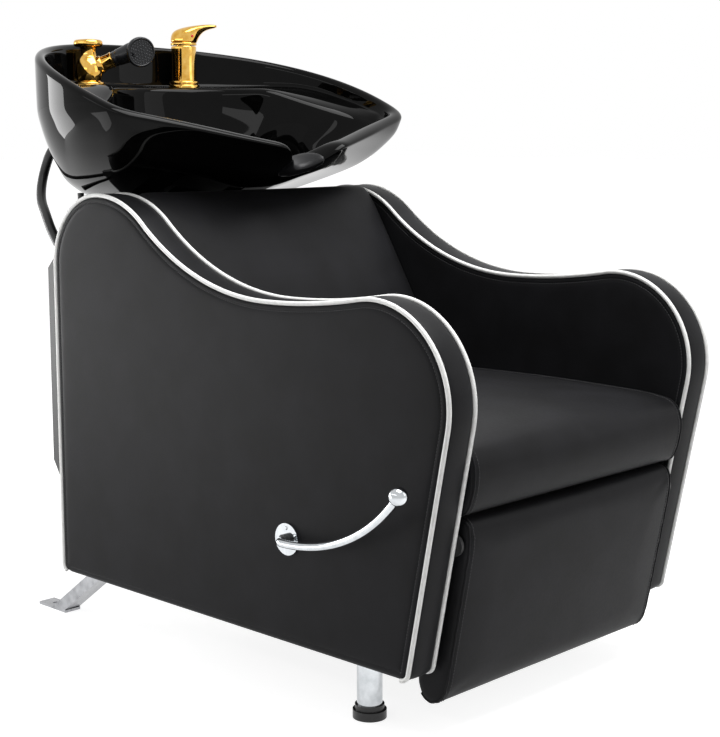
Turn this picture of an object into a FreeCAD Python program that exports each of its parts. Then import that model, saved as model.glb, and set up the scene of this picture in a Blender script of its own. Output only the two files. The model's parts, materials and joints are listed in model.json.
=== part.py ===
import FreeCAD, Part
import math
import os
from FreeCAD import Placement, Rotation, Vector

# Salon backwash unit: padded armchair with a lever leg rest, and a tilting ceramic bowl behind it.
# Millimetres. X across the chair, Y from the sitter's feet to the plumbing, Z up from the floor.
# The origin lies on the floor, midway between the anchor holes of the two rear feet.

SIZES = [
    # Arm panels, side view
    ("arm_seam_x", 330, "outer seam of an arm from the middle plane"),
    ("arm_width", 55, "outer seam to inner seam"),
    ("arm_rear_y", -130, "upright rear edge"),
    ("arm_bottom_z", 108, "bottom edge"),
    ("arm_peak_z", 789, "top of the hump beside the backrest"),
    ("arm_hump_rear_r", 128, "hump, rear quarter"),
    ("arm_hump_front_r", 185, "hump, front side"),
    ("arm_dip_y", -670, "lowest point of the armrest"),
    ("arm_dip_z", 640, "height of that point"),
    ("arm_scroll_y", -895, "centre of the front scroll"),
    ("arm_scroll_r", 148, "radius of the front scroll"),
    ("arm_scroll_rise", 20, "scroll top above the dip"),
    ("arm_front_lean", 11, "lean of the front edge, degrees"),
    ("arm_corner_r", 16, "rounded bottom corners"),
    ("band_wall", 7.7, "thickness of the padded edge band"),
    ("core_gap", 0.3, "band to core"),
    ("seam_step", 8, "core face back from the seam"),
    ("pad_wall", 11, "thickness of an arm's side pad"),
    ("pad_round", 7, "rounding of a side pad's rim"),
    ("welt_r", 3.5, "radius of the white welt"),
    ("welt_proud", 2, "welt above the edge band"),
    ("soft_gap", 0.4, "between soft pieces"),
    # Seat, back and leg rest
    ("seat_gap", 3, "seat to an arm's inner pad"),
    ("seat_half", "=arm_seam_x - arm_width + seam_step - pad_wall - seat_gap", "half width of seat and back"),
    ("seat_front_y", -1012, "front edge of the seat at its bottom"),
    ("seat_nose", 26, "swell of the seat's front"),
    ("seat_rear_y", -500, "rear edge of the seat"),
    ("seat_base_z", 352, "underside of the seat cushion"),
    ("seat_edge_z", 452, "top of the seat at its ends"),
    ("seat_crown", 18, "crown of the seat"),
    ("board_wall", 18, "plywood boards"),
    ("board_set_back", 57, "seat board behind the cushion's front"),
    ("back_lean", 31, "recline of the back, degrees"),
    ("back_foot_y", -508, "front of the back at seat height"),
    ("back_foot_z", 474, "height where the back starts"),
    ("back_rise", 379, "length of the back up its slope"),
    ("back_wall", 84, "thickness of the back cushion"),
    ("back_crown", 16, "crown of the back"),
    ("rest_gap", 7, "leg rest in from the seat's ends"),
    ("rest_half", "=seat_half - rest_gap", "half width of the leg rest"),
    ("rest_board_inset", 12, "leg rest board in from the cushion's ends"),
    ("rest_board_low", 10, "leg rest board above the cushion's bottom"),
    ("rest_board_short", 14, "leg rest board below the nose"),
    ("rest_corner_r", 22, "rounded bottom of the leg rest"),
    ("rest_pivot_y", -1000, "leg rest pivot"),
    ("rest_pivot_z", 308, "leg rest pivot height"),
    ("bracket_y", -944, "bolt of a leg rest bracket"),
    ("rest_nose_r", 30, "rounded top of the leg rest"),
    ("rest_length", 252, "pivot to bottom of the leg rest"),
    ("rest_pad", 42, "leg rest cushion thickness"),
    ("rest_crown", 5, "crown of the leg rest"),
    # Leg rest drive
    ("tube_r", 12, "pivot tube outside"),
    ("pivot_r", 8, "pivot pins"),
    ("running_gap", 0.06, "radial clearance of turning fits"),
    ("shaft_y", -723, "lever shaft"),
    ("shaft_z", 278, "lever shaft height"),
    ("shaft_r", 9, "lever shaft radius"),
    ("crank_y", 55, "crank and horn, back from the pivot"),
    ("crank_z", -45, "crank and horn, up from the pivot"),
    ("link_inset", 62, "drive links in from the leg rest's ends"),
    ("link_x", "=rest_half - link_inset", "drive links from the middle plane"),
    ("link_gap", 3, "link to crank or horn"),
    ("link_play", 1, "loose fit of a link on its horn"),
    ("pin_over", 4, "link pin past the link"),
    ("crank_rim", 4, "crank wider than its link"),
    ("press_gap", 0.02, "radial gap of fixed pins"),
    ("link_wall", 5, "thickness of links, cranks and horns"),
    ("link_half", 12, "half width of links"),
    ("link_pin_r", 5, "link pins"),
    ("bearing_inset", 26, "shaft bearings in from the leg rest's ends"),
    ("bearing_x", "=rest_half - bearing_inset", "shaft bearings from the middle plane"),
    ("bearing_wall", 8, "shaft bearing thickness"),
    ("bearing_rim", 12, "bearing metal round the shaft"),
    ("shaft_over", 12, "shaft past its far bearing"),
    ("hub_over", 8, "shaft past the rosette"),
    ("rod_bend_r", 12, "bend where the rod leaves the shaft"),
    ("screw_high", 1.6, "rosette screw heads"),
    ("rosette_r", 25, "lever rosette"),
    ("rosette_wall", 4, "rosette thickness"),
    ("screw_r", 3.2, "rosette screw heads"),
    ("rosette_pitch_r", 18, "screw circle of the rosette"),
    ("rod_r", 6.25, "lever rod"),
    ("ball_r", 14, "lever ball"),
    ("ball_x", 45, "ball outside the arm seam"),
    ("ball_y", -266, "ball ahead of the shaft"),
    ("ball_z", 117, "ball above the shaft"),
    # Base
    ("rail_inset", 12, "base rails in from the leg rest's ends"),
    ("rail_x", "=rest_half - rail_inset", "base rails from the middle plane"),
    ("rail_wall", 2.5, "wall of the square tubes"),
    ("cross_y", 80, "front cross rail behind the rails' ends"),
    ("rail_wide", 40, "rail width"),
    ("rail_high", 28, "rail height"),
    ("rail_front_y", -872, "front end of the rails"),
    ("leg_inset", 4, "front legs in from the leg rest's ends"),
    ("leg_x", "=rest_half - leg_inset", "front legs from the middle plane"),
    ("leg_y", -824, "front legs"),
    ("leg_r", 20, "front leg tube"),
    ("foot_r", 26.5, "levelling foot"),
    ("foot_high", 22, "levelling foot height"),
    ("foot_disc", 13.6, "height of the foot's disc"),
    ("foot_step", 3.5, "foot collar in from the disc"),
    ("foot_stud_r", 6, "foot stud"),
    ("foot_stud_up", 36, "stud above the foot"),
    ("leg_bore", 50, "depth of the stud's bore"),
    ("anchor_inset", 2, "anchor holes in from the leg rest's ends"),
    ("anchor_x", "=rest_half - anchor_inset", "anchor holes from the middle plane"),
    ("anchor_r", 5.5, "anchor holes"),
    ("heel_wide", 34, "rear leg width"),
    ("heel_plate", 5, "rear foot plate"),
    ("heel_front_y", -54, "front end of the foot plate"),
    ("heel_long", 84, "length of the foot plate"),
    ("strut_low_y", -52, "slanted rear leg at the plate"),
    ("strut_high_y", -192, "slanted rear leg at the rail"),
    ("strut_run", 38, "slanted leg measured along the floor"),
    # Rear casing and bowl carrier
    ("casing_half", "=rest_half", "half width of the casing"),
    ("casing_front_y", -232, "front edge of the casing"),
    ("casing_rear_y", -10, "rear face of the casing"),
    ("casing_top_z", 690, "top of the casing"),
    ("casing_wall", 4, "casing sheet with its lining"),
    ("casing_shoulder", 44, "chamfer of the casing's top"),
    ("casing_kick_y", 96, "slope of the casing's foot, along the floor"),
    ("casing_kick_z", 150, "slope of the casing's foot, upwards"),
    ("casing_mouth_half", 120, "half width of the casing's opening"),
    ("casing_mouth_long", 190, "length of the casing's opening"),
    ("panel_wide", 360, "access panel"),
    ("panel_high", 280, "access panel"),
    ("panel_wall", 3, "access panel"),
    ("panel_low_z", 330, "bottom of the access panel"),
    ("column_y", -165, "bowl column"),
    ("column_wide", 70, "bowl column section"),
    ("column_wall", 4, "bowl column wall"),
    ("column_drop", 52, "column top below the tilt axis"),
    ("tilt_y", -80, "bowl tilt axis, just behind the bowl's balance"),
    ("bowl_base_z", 770, "flat underside of the bowl"),
    ("tilt_drop", 47, "tilt axis below the bowl"),
    ("tilt_z", "=bowl_base_z - tilt_drop", "bowl tilt axis height"),
    ("tilt_r", 8, "tilt bolts"),
    ("tilt_in_x", 36, "inner ends of the tilt bolts"),
    ("tilt_out_x", 62, "outer ends of the tilt bolts"),
    ("lug_wall", 6, "tilt lugs"),
    ("lug_x", 48, "bracket lugs from the middle plane"),
    ("lug_r", 18, "rounding of the bracket lugs"),
    ("fork_rear_y", -62, "end of the bracket's fork"),
    ("fork_half", 42, "inside half width of the fork"),
    ("fork_wide", 13, "width of a fork arm"),
    ("bracket_wall", 8, "bracket plate"),
    ("cradle_lug_x", 40, "cradle lugs from the middle plane"),
    ("cradle_lug_r", 16, "rounding of the cradle lugs"),
    ("cradle_half", 85, "half width of the cradle"),
    ("cradle_front_y", -180, "front of the cradle"),
    ("cradle_long", 140, "length of the cradle"),
    ("cradle_hole_rim", 8, "cradle hole wider than the drain"),
    # Bowl
    ("bowl_half", 352, "half width at the front corners"),
    ("bowl_corner_y", -330, "front corners"),
    ("bowl_front_y", -494, "front of the neck rest"),
    ("bowl_rear_y", 112, "rear of the rim"),
    ("bowl_shoulder_x", 250, "rear shoulders"),
    ("bowl_shoulder_y", 10, "rear shoulders"),
    ("bowl_wall", 20, "ceramic wall"),
    ("bowl_floor", 24, "ceramic floor"),
    ("rim_rear_y", 190, "rear end of the rim's curve"),
    ("rim_rear_up", 304, "rear end of the rim's curve above the underside"),
    ("rim_rear_z", "=bowl_base_z + rim_rear_up", "rear end of the rim's curve"),
    ("rim_middle_y", -130, "rim half way"),
    ("rim_middle_up", 236, "rim half way, above the underside"),
    ("rim_middle_z", "=bowl_base_z + rim_middle_up", "rim half way"),
    ("rim_front_y", -540, "front end of the rim's curve"),
    ("rim_front_up", 66, "front end of the rim's curve above the underside"),
    ("rim_front_z", "=bowl_base_z + rim_front_up", "front end of the rim's curve"),
    ("deck_up", 210, "tap deck above the underside"),
    ("deck_z", "=bowl_base_z + deck_up", "tap deck"),
    ("basin_r", 205, "round end of the basin"),
    ("basin_y", -165, "centre of the basin's round end"),
    ("deck_front_y", -105, "front of the tap deck"),
    ("tap_hole_r", 16, "tap holes"),
    ("neck_pad_wall", 11, "neck pad thickness"),
    ("neck_pad_back", 34, "neck pad behind the bowl's front"),
    ("neck_pad_long", 52, "neck pad length"),
    ("tail_r", 20, "drain tailpiece"),
    ("tail_wall", 2.5, "drain tailpiece wall"),
    ("tail_long", 96, "drain tailpiece length"),
    ("spigot_r", 18.8, "free end of the tailpiece"),
    ("spigot_long", 48, "length of that end"),
    ("nut_rim", 7, "locknut round the tailpiece"),
    ("nut_high", 12, "locknut height"),
    ("notch_half", 64, "half width of the neck notch"),
    ("notch_up", 66, "neck notch above the underside"),
    ("notch_z", "=bowl_base_z + notch_up", "bottom of the neck notch"),
    ("drain_y", -90, "drain"),
    ("drain_r", 22, "drain hole"),
    # Fittings on the deck
    ("mixer_x", 108, "mixer"),
    ("mixer_y", 36, "mixer"),
    ("mixer_base_r", 31, "mixer base ring"),
    ("mixer_r", 25, "mixer body"),
    ("mixer_joint", 82, "base to swivel joint"),
    ("mixer_cap", 30, "height of the handle's cap"),
    ("holder_x", -132, "spray holder"),
    ("holder_y", 26, "spray holder"),
    ("holder_ball_r", 25.5, "spray holder ball"),
    ("holder_neck_r", 15.5, "spray holder neck"),
    ("holder_cap_r", 27, "spray holder cap"),
    ("collar_r", 15, "spray socket"),
    ("spray_r", 10, "spray stem"),
    ("spray_head_r", 28.5, "spray head"),
    ("spray_rise", 22, "spray axis above level, degrees"),
    # Hoses
    ("spray_hose_r", 9, "spray hose"),
    ("feed_hose_r", 6, "water feed hose"),
]

doc = FreeCAD.newDocument("backwash_unit")
sheet = doc.addObject("Spreadsheet::Sheet", "Sizes")
for row, (alias, value, note) in enumerate(SIZES, 1):
    sheet.set("A%d" % row, note)
    sheet.set("B%d" % row, str(value))
    sheet.setAlias("B%d" % row, alias)
doc.recompute()
D = {alias: float(sheet.get(alias)) for alias, value, note in SIZES}
SIDES = (("right", -1), ("left", 1))
parts = []


# Helpers

def keep(obj, label):
    obj.Label = label
    parts.append(obj)
    return obj


def bind(obj, **sizes):
    """Ties properties of an object to cells of the sheet."""
    for name, formula in sizes.items():
        obj.setExpression(name, formula)
    return obj


def seat_at(obj, x, y, z, axis=Vector(0, 0, 1), angle=0):
    """Turns an object and ties its place to the sheet."""
    obj.Placement = Placement(Vector(), Rotation(axis, angle))
    for name, formula in (("x", x), ("y", y), ("z", z)):
        obj.setExpression("Placement.Base." + name, str(formula))
    return obj


def cylinder(name, radius, height, x, y, z, axis="Z"):
    """Round bar whose sizes and place are bound to the sheet; along +X, +Y or +Z."""
    obj = doc.addObject("Part::Cylinder", name)
    bind(obj, Radius=radius, Height=height)
    turn = {"X": (Vector(0, 1, 0), 90), "Y": (Vector(1, 0, 0), -90), "Z": (Vector(0, 0, 1), 0)}[axis]
    return seat_at(obj, x, y, z, *turn)


def box(name, length, width, height, x, y, z):
    obj = doc.addObject("Part::Box", name)
    bind(obj, Length=length, Width=width, Height=height)
    return seat_at(obj, x, y, z)


def cut(name, base, tools):
    """Takes one or more tools out of a base object."""
    for count, tool in enumerate(tools):
        result = doc.addObject("Part::Cut", "%s_cut%d" % (name, count))
        result.Base = base
        result.Tool = tool
        base = result
    return base


def fuse(name, shapes):
    result = doc.addObject("Part::MultiFuse", name + "_fuse")
    result.Shapes = shapes
    return result


def free_form(label, shape):
    """A form that needs a loft or a swept path of its own."""
    obj = doc.addObject("Part::Feature", label)
    obj.Shape = shape
    return keep(obj, label)


def polar(centre, radius, degrees):
    angle = math.radians(degrees)
    return (centre[0] + radius * math.cos(angle), centre[1] + radius * math.sin(angle))


def arc(first, middle, last):
    return Part.Arc(Vector(*first), Vector(*middle), Vector(*last)).toShape()


def line(first, last):
    return Part.LineSegment(Vector(*first), Vector(*last)).toShape()


def eye_plate(centre, half, tail, hole_r, x, wall):
    """Flat bar across X with a round eye at centre and a straight tail to the tail point."""
    span = math.dist(centre, tail)
    angle = math.degrees(math.atan2(tail[1] - centre[1], tail[0] - centre[0]))
    place = Placement(Vector(x, centre[0], centre[1]), Rotation(Vector(1, 0, 0), angle))
    edges = [
        arc((0, 0, half), (0, -half, 0), (0, 0, -half)),
        line((0, 0, -half), (0, span, -half)),
        line((0, span, -half), (0, span, half)),
        line((0, span, half), (0, 0, half)),
    ]
    plate = Part.Face(Part.Wire(edges)).extrude(Vector(wall, 0, 0))
    if hole_r:
        plate = plate.cut(Part.makeCylinder(hole_r, wall, Vector(), Vector(1, 0, 0)))
    plate.Placement = place
    return plate


def eye_bar(first, last, half, first_r, last_r, x, wall):
    """Flat link across X with a round eye and a hole at each end."""
    bar = eye_plate(first, half, last, first_r, x, wall)
    end = eye_plate(last, half, first, last_r, x, wall)
    hole_first = Part.makeCylinder(first_r, wall, Vector(x, *first), Vector(1, 0, 0))
    hole_last = Part.makeCylinder(last_r, wall, Vector(x, *last), Vector(1, 0, 0))
    return bar.fuse(end).removeSplitter().cut(hole_first).cut(hole_last)


# Side view of an arm: hump, dip and scroll are tangent arcs, the front leans back to the floor

def arm_edges(inset, x, closed=True):
    """Edges of the arm's outline, drawn in by inset, in the plane at x."""
    lean = math.radians(D["arm_front_lean"])
    rear_r = D["arm_hump_rear_r"]
    front_r = D["arm_hump_front_r"]
    scroll_r = D["arm_scroll_r"]
    peak_y = D["arm_rear_y"] - rear_r
    fall = D["arm_peak_z"] - D["arm_dip_z"]
    run = peak_y - D["arm_dip_y"]
    turn = 2 * math.degrees(math.atan2(fall, run))
    sweep_r = run / math.sin(math.radians(turn)) - front_r
    drop = scroll_r - D["arm_scroll_rise"]
    reach = D["arm_dip_y"] - D["arm_scroll_y"]
    dip_r = (reach ** 2 + drop ** 2 - scroll_r ** 2) / (2 * (scroll_r - drop))
    rise = math.degrees(math.asin(reach / (dip_r + scroll_r)))
    scroll = (D["arm_scroll_y"], D["arm_dip_z"] - drop)
    arcs = (
        ((peak_y, D["arm_peak_z"] - rear_r), rear_r - inset, 0, 90),
        ((peak_y, D["arm_peak_z"] - front_r), front_r - inset, 90, 90 + turn),
        ((D["arm_dip_y"], D["arm_dip_z"] + sweep_r), sweep_r + inset, turn - 90, -90),
        ((D["arm_dip_y"], D["arm_dip_z"] + dip_r), dip_r + inset, -90, -90 - rise),
        (scroll, scroll_r - inset, 90 - rise, 180 + D["arm_front_lean"]),
    )
    base = D["arm_bottom_z"] + inset
    corner = D["arm_corner_r"] - inset
    heel = (D["arm_rear_y"] - inset - corner, base + corner)
    low = polar(scroll, scroll_r - inset, 180 + D["arm_front_lean"])
    down = (low[1] + corner * math.sin(lean) - base - corner) / math.cos(lean)
    toe = (low[0] + down * math.sin(lean) + corner * math.cos(lean), base + corner)
    toe_end = polar(toe, corner, 180 + D["arm_front_lean"])
    last = (heel[0] + corner, heel[1])
    edges = []

    def flat(point):
        return (x, point[0], point[1])

    if closed:
        edges.append(line(flat((toe[0], base)), flat((heel[0], base))))
        edges.append(arc(flat((heel[0], base)), flat(polar(heel, corner, -45)), flat(last)))
    for centre, radius, start, stop in arcs:
        first = polar(centre, radius, start)
        if math.dist(last, first) > 1e-6:
            edges.append(line(flat(last), flat(first)))
        last = polar(centre, radius, stop)
        edges.append(arc(flat(first), flat(polar(centre, radius, (start + stop) / 2)), flat(last)))
    edges.append(line(flat(last), flat(toe_end)))
    if closed:
        middle = polar(toe, corner, 225 + D["arm_front_lean"] / 2)
        edges.append(arc(flat(toe_end), flat(middle), flat((toe[0], base))))
    return edges


def arm_slab(name, insets, x, thickness):
    """A slab with the arm's outline: a sketch on the side plane, padded across X."""
    body = doc.addObject("PartDesign::Body", name)
    plane = [o for o in body.Origin.OriginFeatures if o.Role == "YZ_Plane"][0]
    sketch = body.newObject("Sketcher::SketchObject", name + "_outline")
    sketch.AttachmentSupport = [(plane, "")]
    sketch.MapMode = "FlatFace"
    for inset in insets:
        for edge in arm_edges(inset, 0):
            first, last = (Vector(v.Point.y, v.Point.z, 0) for v in edge.Vertexes)
            if isinstance(edge.Curve, Part.Line):
                sketch.addGeometry(Part.LineSegment(first, last), False)
            else:
                half = edge.valueAt((edge.FirstParameter + edge.LastParameter) / 2)
                sketch.addGeometry(Part.Arc(first, Vector(half.y, half.z, 0), last), False)
    pad = body.newObject("PartDesign::Pad", name + "_pad")
    pad.Profile = sketch
    pad.setExpression("Length", thickness)
    seat_at(body, x, "0", "0")
    return body


def round_rim(body, name, outer_x):
    """Rounds the rim of a side pad on its outer face, at outer_x in the body's own frame."""
    doc.recompute()
    slab = body.Tip
    rim = []
    for number, edge in enumerate(slab.Shape.Edges, 1):
        if all(abs(v.Point.x - outer_x) < 1e-6 for v in edge.Vertexes):
            rim.append("Edge%d" % number)
    fillet = body.newObject("PartDesign::Fillet", name + "_rim")
    fillet.Base = (slab, rim)
    fillet.setExpression("Radius", "Sizes.pad_round")
    return body


def welt(label, x):
    """Round welt along the rear, top and front of an arm's seam."""
    inset = D["welt_r"] - D["welt_proud"]
    edges = arm_edges(inset, x, closed=False)
    start = edges[0].Vertexes[0].Point
    ring = Part.Wire(Part.makeCircle(D["welt_r"], start, Vector(0, 0, 1)))
    return free_form(label, Part.Wire(edges).makePipeShell([ring], True, False))


# Arm panels

core_inset = D["band_wall"] + D["core_gap"]
for side, sign in SIDES:
    inner = "Sizes.arm_seam_x - Sizes.arm_width + Sizes.seam_step"
    core_wide = "Sizes.arm_width - 2 * Sizes.seam_step"
    band_wide = "Sizes.arm_width - 2 * (Sizes.welt_r + Sizes.soft_gap)"
    band_x = "Sizes.arm_seam_x - Sizes.arm_width + Sizes.welt_r + Sizes.soft_gap"
    start = {"core": inner, "outer": "Sizes.arm_seam_x - Sizes.seam_step",
             "inner": inner + " - Sizes.pad_wall", "band": band_x}
    wide = {"core": core_wide, "outer": "Sizes.pad_wall", "inner": "Sizes.pad_wall", "band": band_wide}
    place = {}
    for key in start:
        place[key] = start[key] if sign > 0 else "-(%s) - (%s)" % (start[key], wide[key])
    core = arm_slab("arm_core_%s_slab" % side, [core_inset], place["core"], wide["core"])
    outer = arm_slab("arm_outer_pad_%s_slab" % side, [core_inset], place["outer"], wide["outer"])
    round_rim(outer, "outer_%s" % side, D["pad_wall"] if sign > 0 else 0)
    lining = arm_slab("arm_inner_pad_%s_slab" % side, [core_inset], place["inner"], wide["inner"])
    round_rim(lining, "inner_%s" % side, 0 if sign > 0 else D["pad_wall"])
    band = arm_slab("arm_edge_band_%s_slab" % side, [0, D["band_wall"]], place["band"], wide["band"])
    keep(band, "arm_edge_band_" + side)
    reach = "Sizes.arm_seam_x + Sizes.pad_wall"
    through = "0" if sign > 0 else "-(%s)" % reach
    pivot_hole = cylinder("pivot_hole_" + side, "Sizes.pivot_r + Sizes.soft_gap",
                          reach + " - Sizes.seam_step * 2",
                          "0" if sign > 0 else "-(%s - Sizes.seam_step * 2)" % reach,
                          "Sizes.bracket_y", "Sizes.rest_pivot_z", "X")
    tools = [pivot_hole]
    if sign < 0:
        tools.append(cylinder("shaft_hole", "Sizes.shaft_r + Sizes.soft_gap", reach, through,
                              "Sizes.shaft_y", "Sizes.shaft_z", "X"))
        outer = cut("arm_outer_pad_" + side, outer, tools[1:])
    keep(cut("arm_core_" + side, core, tools), "arm_core_" + side)
    keep(cut("arm_inner_pad_" + side, lining, tools), "arm_inner_pad_" + side)
    keep(outer, "arm_outer_pad_" + side)
    welt("arm_welt_outer_" + side, sign * D["arm_seam_x"])
    welt("arm_welt_inner_" + side, sign * (D["arm_seam_x"] - D["arm_width"]))


# Cushions: lofts across the chair through sections of lines and arcs

END_SLACK = 0.85


def pillow(half, section):
    """Closed loft of sections that swell from both ends to the middle."""
    wires = []
    for share in (-1, -0.55, 0, 0.55, 1):
        wires.append(Part.Wire(section(share * half, 1 - END_SLACK * share ** 2)))
    return Part.makeLoft(wires, True, False)


def seat_section(x, swell):
    front, rear, base = D["seat_front_y"], D["seat_rear_y"], D["seat_base_z"]
    top = D["seat_edge_z"] + D["seat_crown"] * swell * 0.6
    high = top - base
    chin = (x, front - D["seat_nose"] + 3, base + 0.62 * high)
    brow = (x, front + 34, top - 2)
    return [
        line((x, rear, base), (x, front, base)),
        arc((x, front, base), (x, front - 0.72 * D["seat_nose"], base + 0.28 * high), chin),
        arc(chin, (x, front - 0.34 * D["seat_nose"], base + 0.9 * high), brow),
        arc(brow, (x, (front + rear) / 2, top + D["seat_crown"] * 0.7), (x, rear, top - 6)),
        line((x, rear, top - 6), (x, rear, base)),
    ]


def back_section(x, swell):
    wall, rise = D["back_wall"], D["back_rise"]
    front = -D["back_crown"] * swell
    return [
        line((x, wall, 0), (x, 12, 0)),
        arc((x, 12, 0), (x, 3 + front * 0.25, 12), (x, front * 0.5, 40)),
        arc((x, front * 0.5, 40), (x, front, rise * 0.5), (x, front * 0.5, rise - 42)),
        arc((x, front * 0.5, rise - 42), (x, 6, rise - 12), (x, 30, rise)),
        arc((x, 30, rise), (x, wall * 0.72, rise - 16), (x, wall, rise - 60)),
        line((x, wall, rise - 60), (x, wall, 0)),
    ]


def rest_section(x, swell):
    nose = D["rest_nose_r"]
    rear = D["rest_pad"] - nose
    low = -D["rest_length"]
    tuck = -math.sqrt(nose ** 2 - rear ** 2)
    diagonal = nose * math.sqrt(0.5)
    front = -nose - D["rest_crown"] * swell
    turn = D["rest_corner_r"]
    bite = turn * (1 - math.sqrt(0.5))
    return [
        line((x, rear, low), (x, rear, tuck)),
        arc((x, rear, tuck), (x, nose, 0), (x, 0, nose)),
        arc((x, 0, nose), (x, -diagonal, diagonal), (x, -nose, 0)),
        arc((x, -nose, 0), (x, front, low / 2), (x, -nose, low + turn)),
        arc((x, -nose, low + turn), (x, -nose + bite, low + bite), (x, -nose + turn, low)),
        line((x, -nose + turn, low), (x, rear, low)),
    ]


free_form("seat_cushion", pillow(D["seat_half"], seat_section))
board_half = "(Sizes.arm_seam_x - Sizes.arm_width + Sizes.seam_step - Sizes.pad_wall - Sizes.core_gap)"
keep(box("seat_board", "2 * " + board_half, "Sizes.seat_rear_y - Sizes.seat_front_y - Sizes.board_set_back",
         "Sizes.board_wall", "-" + board_half, "Sizes.seat_front_y + Sizes.board_set_back",
         "Sizes.seat_base_z - Sizes.board_wall"), "seat_board")

back = free_form("back_cushion", pillow(D["seat_half"], back_section))
back_turn = Rotation(Vector(1, 0, 0), -D["back_lean"])
back.Placement = Placement(Vector(0, D["back_foot_y"], D["back_foot_z"]), back_turn)
board = doc.addObject("Part::Box", "back_board")
bind(board, Length="2 * " + board_half, Width="Sizes.board_wall", Height="Sizes.back_rise - 60")
inner_face = D["arm_seam_x"] - D["arm_width"] + D["seam_step"] - D["pad_wall"]
board_corner = Vector(D["core_gap"] - inner_face, D["back_wall"], 0)
board.Placement = Placement(back.Placement.multVec(board_corner), back_turn)
keep(board, "back_board")

rest_turn = Rotation(Vector(1, 0, 0), D["arm_front_lean"])
rest_place = Placement(Vector(0, D["rest_pivot_y"], D["rest_pivot_z"]), rest_turn)
rest_pad = doc.addObject("Part::Feature", "legrest_pad")
rest_pad.Shape = pillow(D["rest_half"], rest_section)
rest_pad.Placement = rest_place
tube_hole = cylinder("tube_hole", "Sizes.tube_r + Sizes.soft_gap", "2 * Sizes.arm_seam_x",
                     "-Sizes.arm_seam_x", "Sizes.rest_pivot_y", "Sizes.rest_pivot_z", "X")
keep(cut("legrest_cushion", rest_pad, [tube_hole]), "legrest_cushion")
board_front = D["rest_pad"] - D["rest_nose_r"] + D["core_gap"]
rest_board = doc.addObject("Part::Box", "legrest_board")
bind(rest_board, Length="2 * (Sizes.rest_half - Sizes.rest_board_inset)", Width="Sizes.board_wall",
     Height="Sizes.rest_length - Sizes.rest_nose_r - Sizes.rest_board_short")
board_corner = Vector(D["rest_board_inset"] - D["rest_half"], board_front,
                      D["rest_board_low"] - D["rest_length"])
rest_board.Placement = rest_place.multiply(Placement(board_corner, Rotation()))
keep(rest_board, "legrest_board")


# Leg rest pivots: a tube in the cushion's nose turns on two pins held by the arms

tube = cylinder("pivot_tube_bar", "Sizes.tube_r", "2 * Sizes.rest_half", "-Sizes.rest_half",
                "Sizes.rest_pivot_y", "Sizes.rest_pivot_z", "X")
tube_bore = cylinder("pivot_tube_bore", "Sizes.pivot_r + Sizes.running_gap", "2 * Sizes.rest_half",
                     "-Sizes.rest_half", "Sizes.rest_pivot_y", "Sizes.rest_pivot_z", "X")
keep(cut("legrest_pivot_tube", tube, [tube_bore]), "legrest_pivot_tube")
BRACKET_EYE = 17
PIN_REACH = 50
STUD_REACH = 32
BRACKET_GAP = 4
PILOT_R = 1
pins = []
plate_x = D["rest_half"] + BRACKET_GAP
plate_end = inner_face - 2 * D["soft_gap"]
pivot_at = (D["rest_pivot_y"], D["rest_pivot_z"])
stud_at = (D["bracket_y"], D["rest_pivot_z"])
for side, sign in SIDES:
    ways = Vector(sign, 0, 0)
    plate_low = min(sign * plate_x, sign * plate_end)
    plate = eye_bar(pivot_at, stud_at, BRACKET_EYE, PILOT_R, PILOT_R, plate_low, plate_end - plate_x)
    pin = Part.makeCylinder(D["pivot_r"], PIN_REACH + plate_end - plate_x,
                            Vector(sign * (plate_x - PIN_REACH), *pivot_at), ways)
    stud = Part.makeCylinder(D["pivot_r"], STUD_REACH, Vector(sign * plate_x, *stud_at), ways)
    pins.append(plate.fuse(pin).fuse(stud).removeSplitter())
free_form("pivot_pins", Part.makeCompound(pins))


# Lever drive: shaft, cranks and links lift the leg rest through its horns

shaft_at = (D["shaft_y"], D["shaft_z"])
rest_at = (D["rest_pivot_y"], D["rest_pivot_z"])
crank_at = (shaft_at[0] + D["crank_y"], shaft_at[1] + D["crank_z"])
horn_at = (rest_at[0] + D["crank_y"], rest_at[1] + D["crank_z"])
wall = D["link_wall"]
pin_long = 2 * wall + D["link_gap"] + D["pin_over"]
crank_pins = []
horns = []
cranks = []
for side, sign in SIDES:
    link_x = sign * D["link_x"] - wall / 2
    arm_x = link_x - sign * (wall + D["link_gap"])
    free_form("drive_link_" + side, eye_bar(crank_at, horn_at, D["link_half"],
              D["link_pin_r"] + D["running_gap"], D["link_pin_r"] + D["link_play"], link_x, wall))
    cranks.append(eye_bar(shaft_at, crank_at, D["link_half"] + D["crank_rim"], D["shaft_r"] + D["press_gap"],
                          D["link_pin_r"] + D["press_gap"], arm_x, wall))
    foot = rest_place.inverse().multVec(Vector(0, *horn_at))
    seat_point = rest_place.multVec(Vector(0, board_front + D["board_wall"], foot.z))
    horn = eye_plate(horn_at, D["link_half"], (seat_point.y, seat_point.z), 0, arm_x, wall)
    pin_x = min(arm_x, link_x) - (D["pin_over"] if sign < 0 else 0)
    stud = Part.makeCylinder(D["link_pin_r"], pin_long, Vector(pin_x, *horn_at), Vector(1, 0, 0))
    horns.append(horn.fuse(stud))
    crank_pins.append(Part.makeCylinder(D["link_pin_r"], pin_long, Vector(pin_x, *crank_at), Vector(1, 0, 0)))
free_form("cranks", Part.makeCompound(cranks))
free_form("crank_pins", Part.makeCompound(crank_pins))
free_form("legrest_horns", Part.makeCompound(horns))

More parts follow.
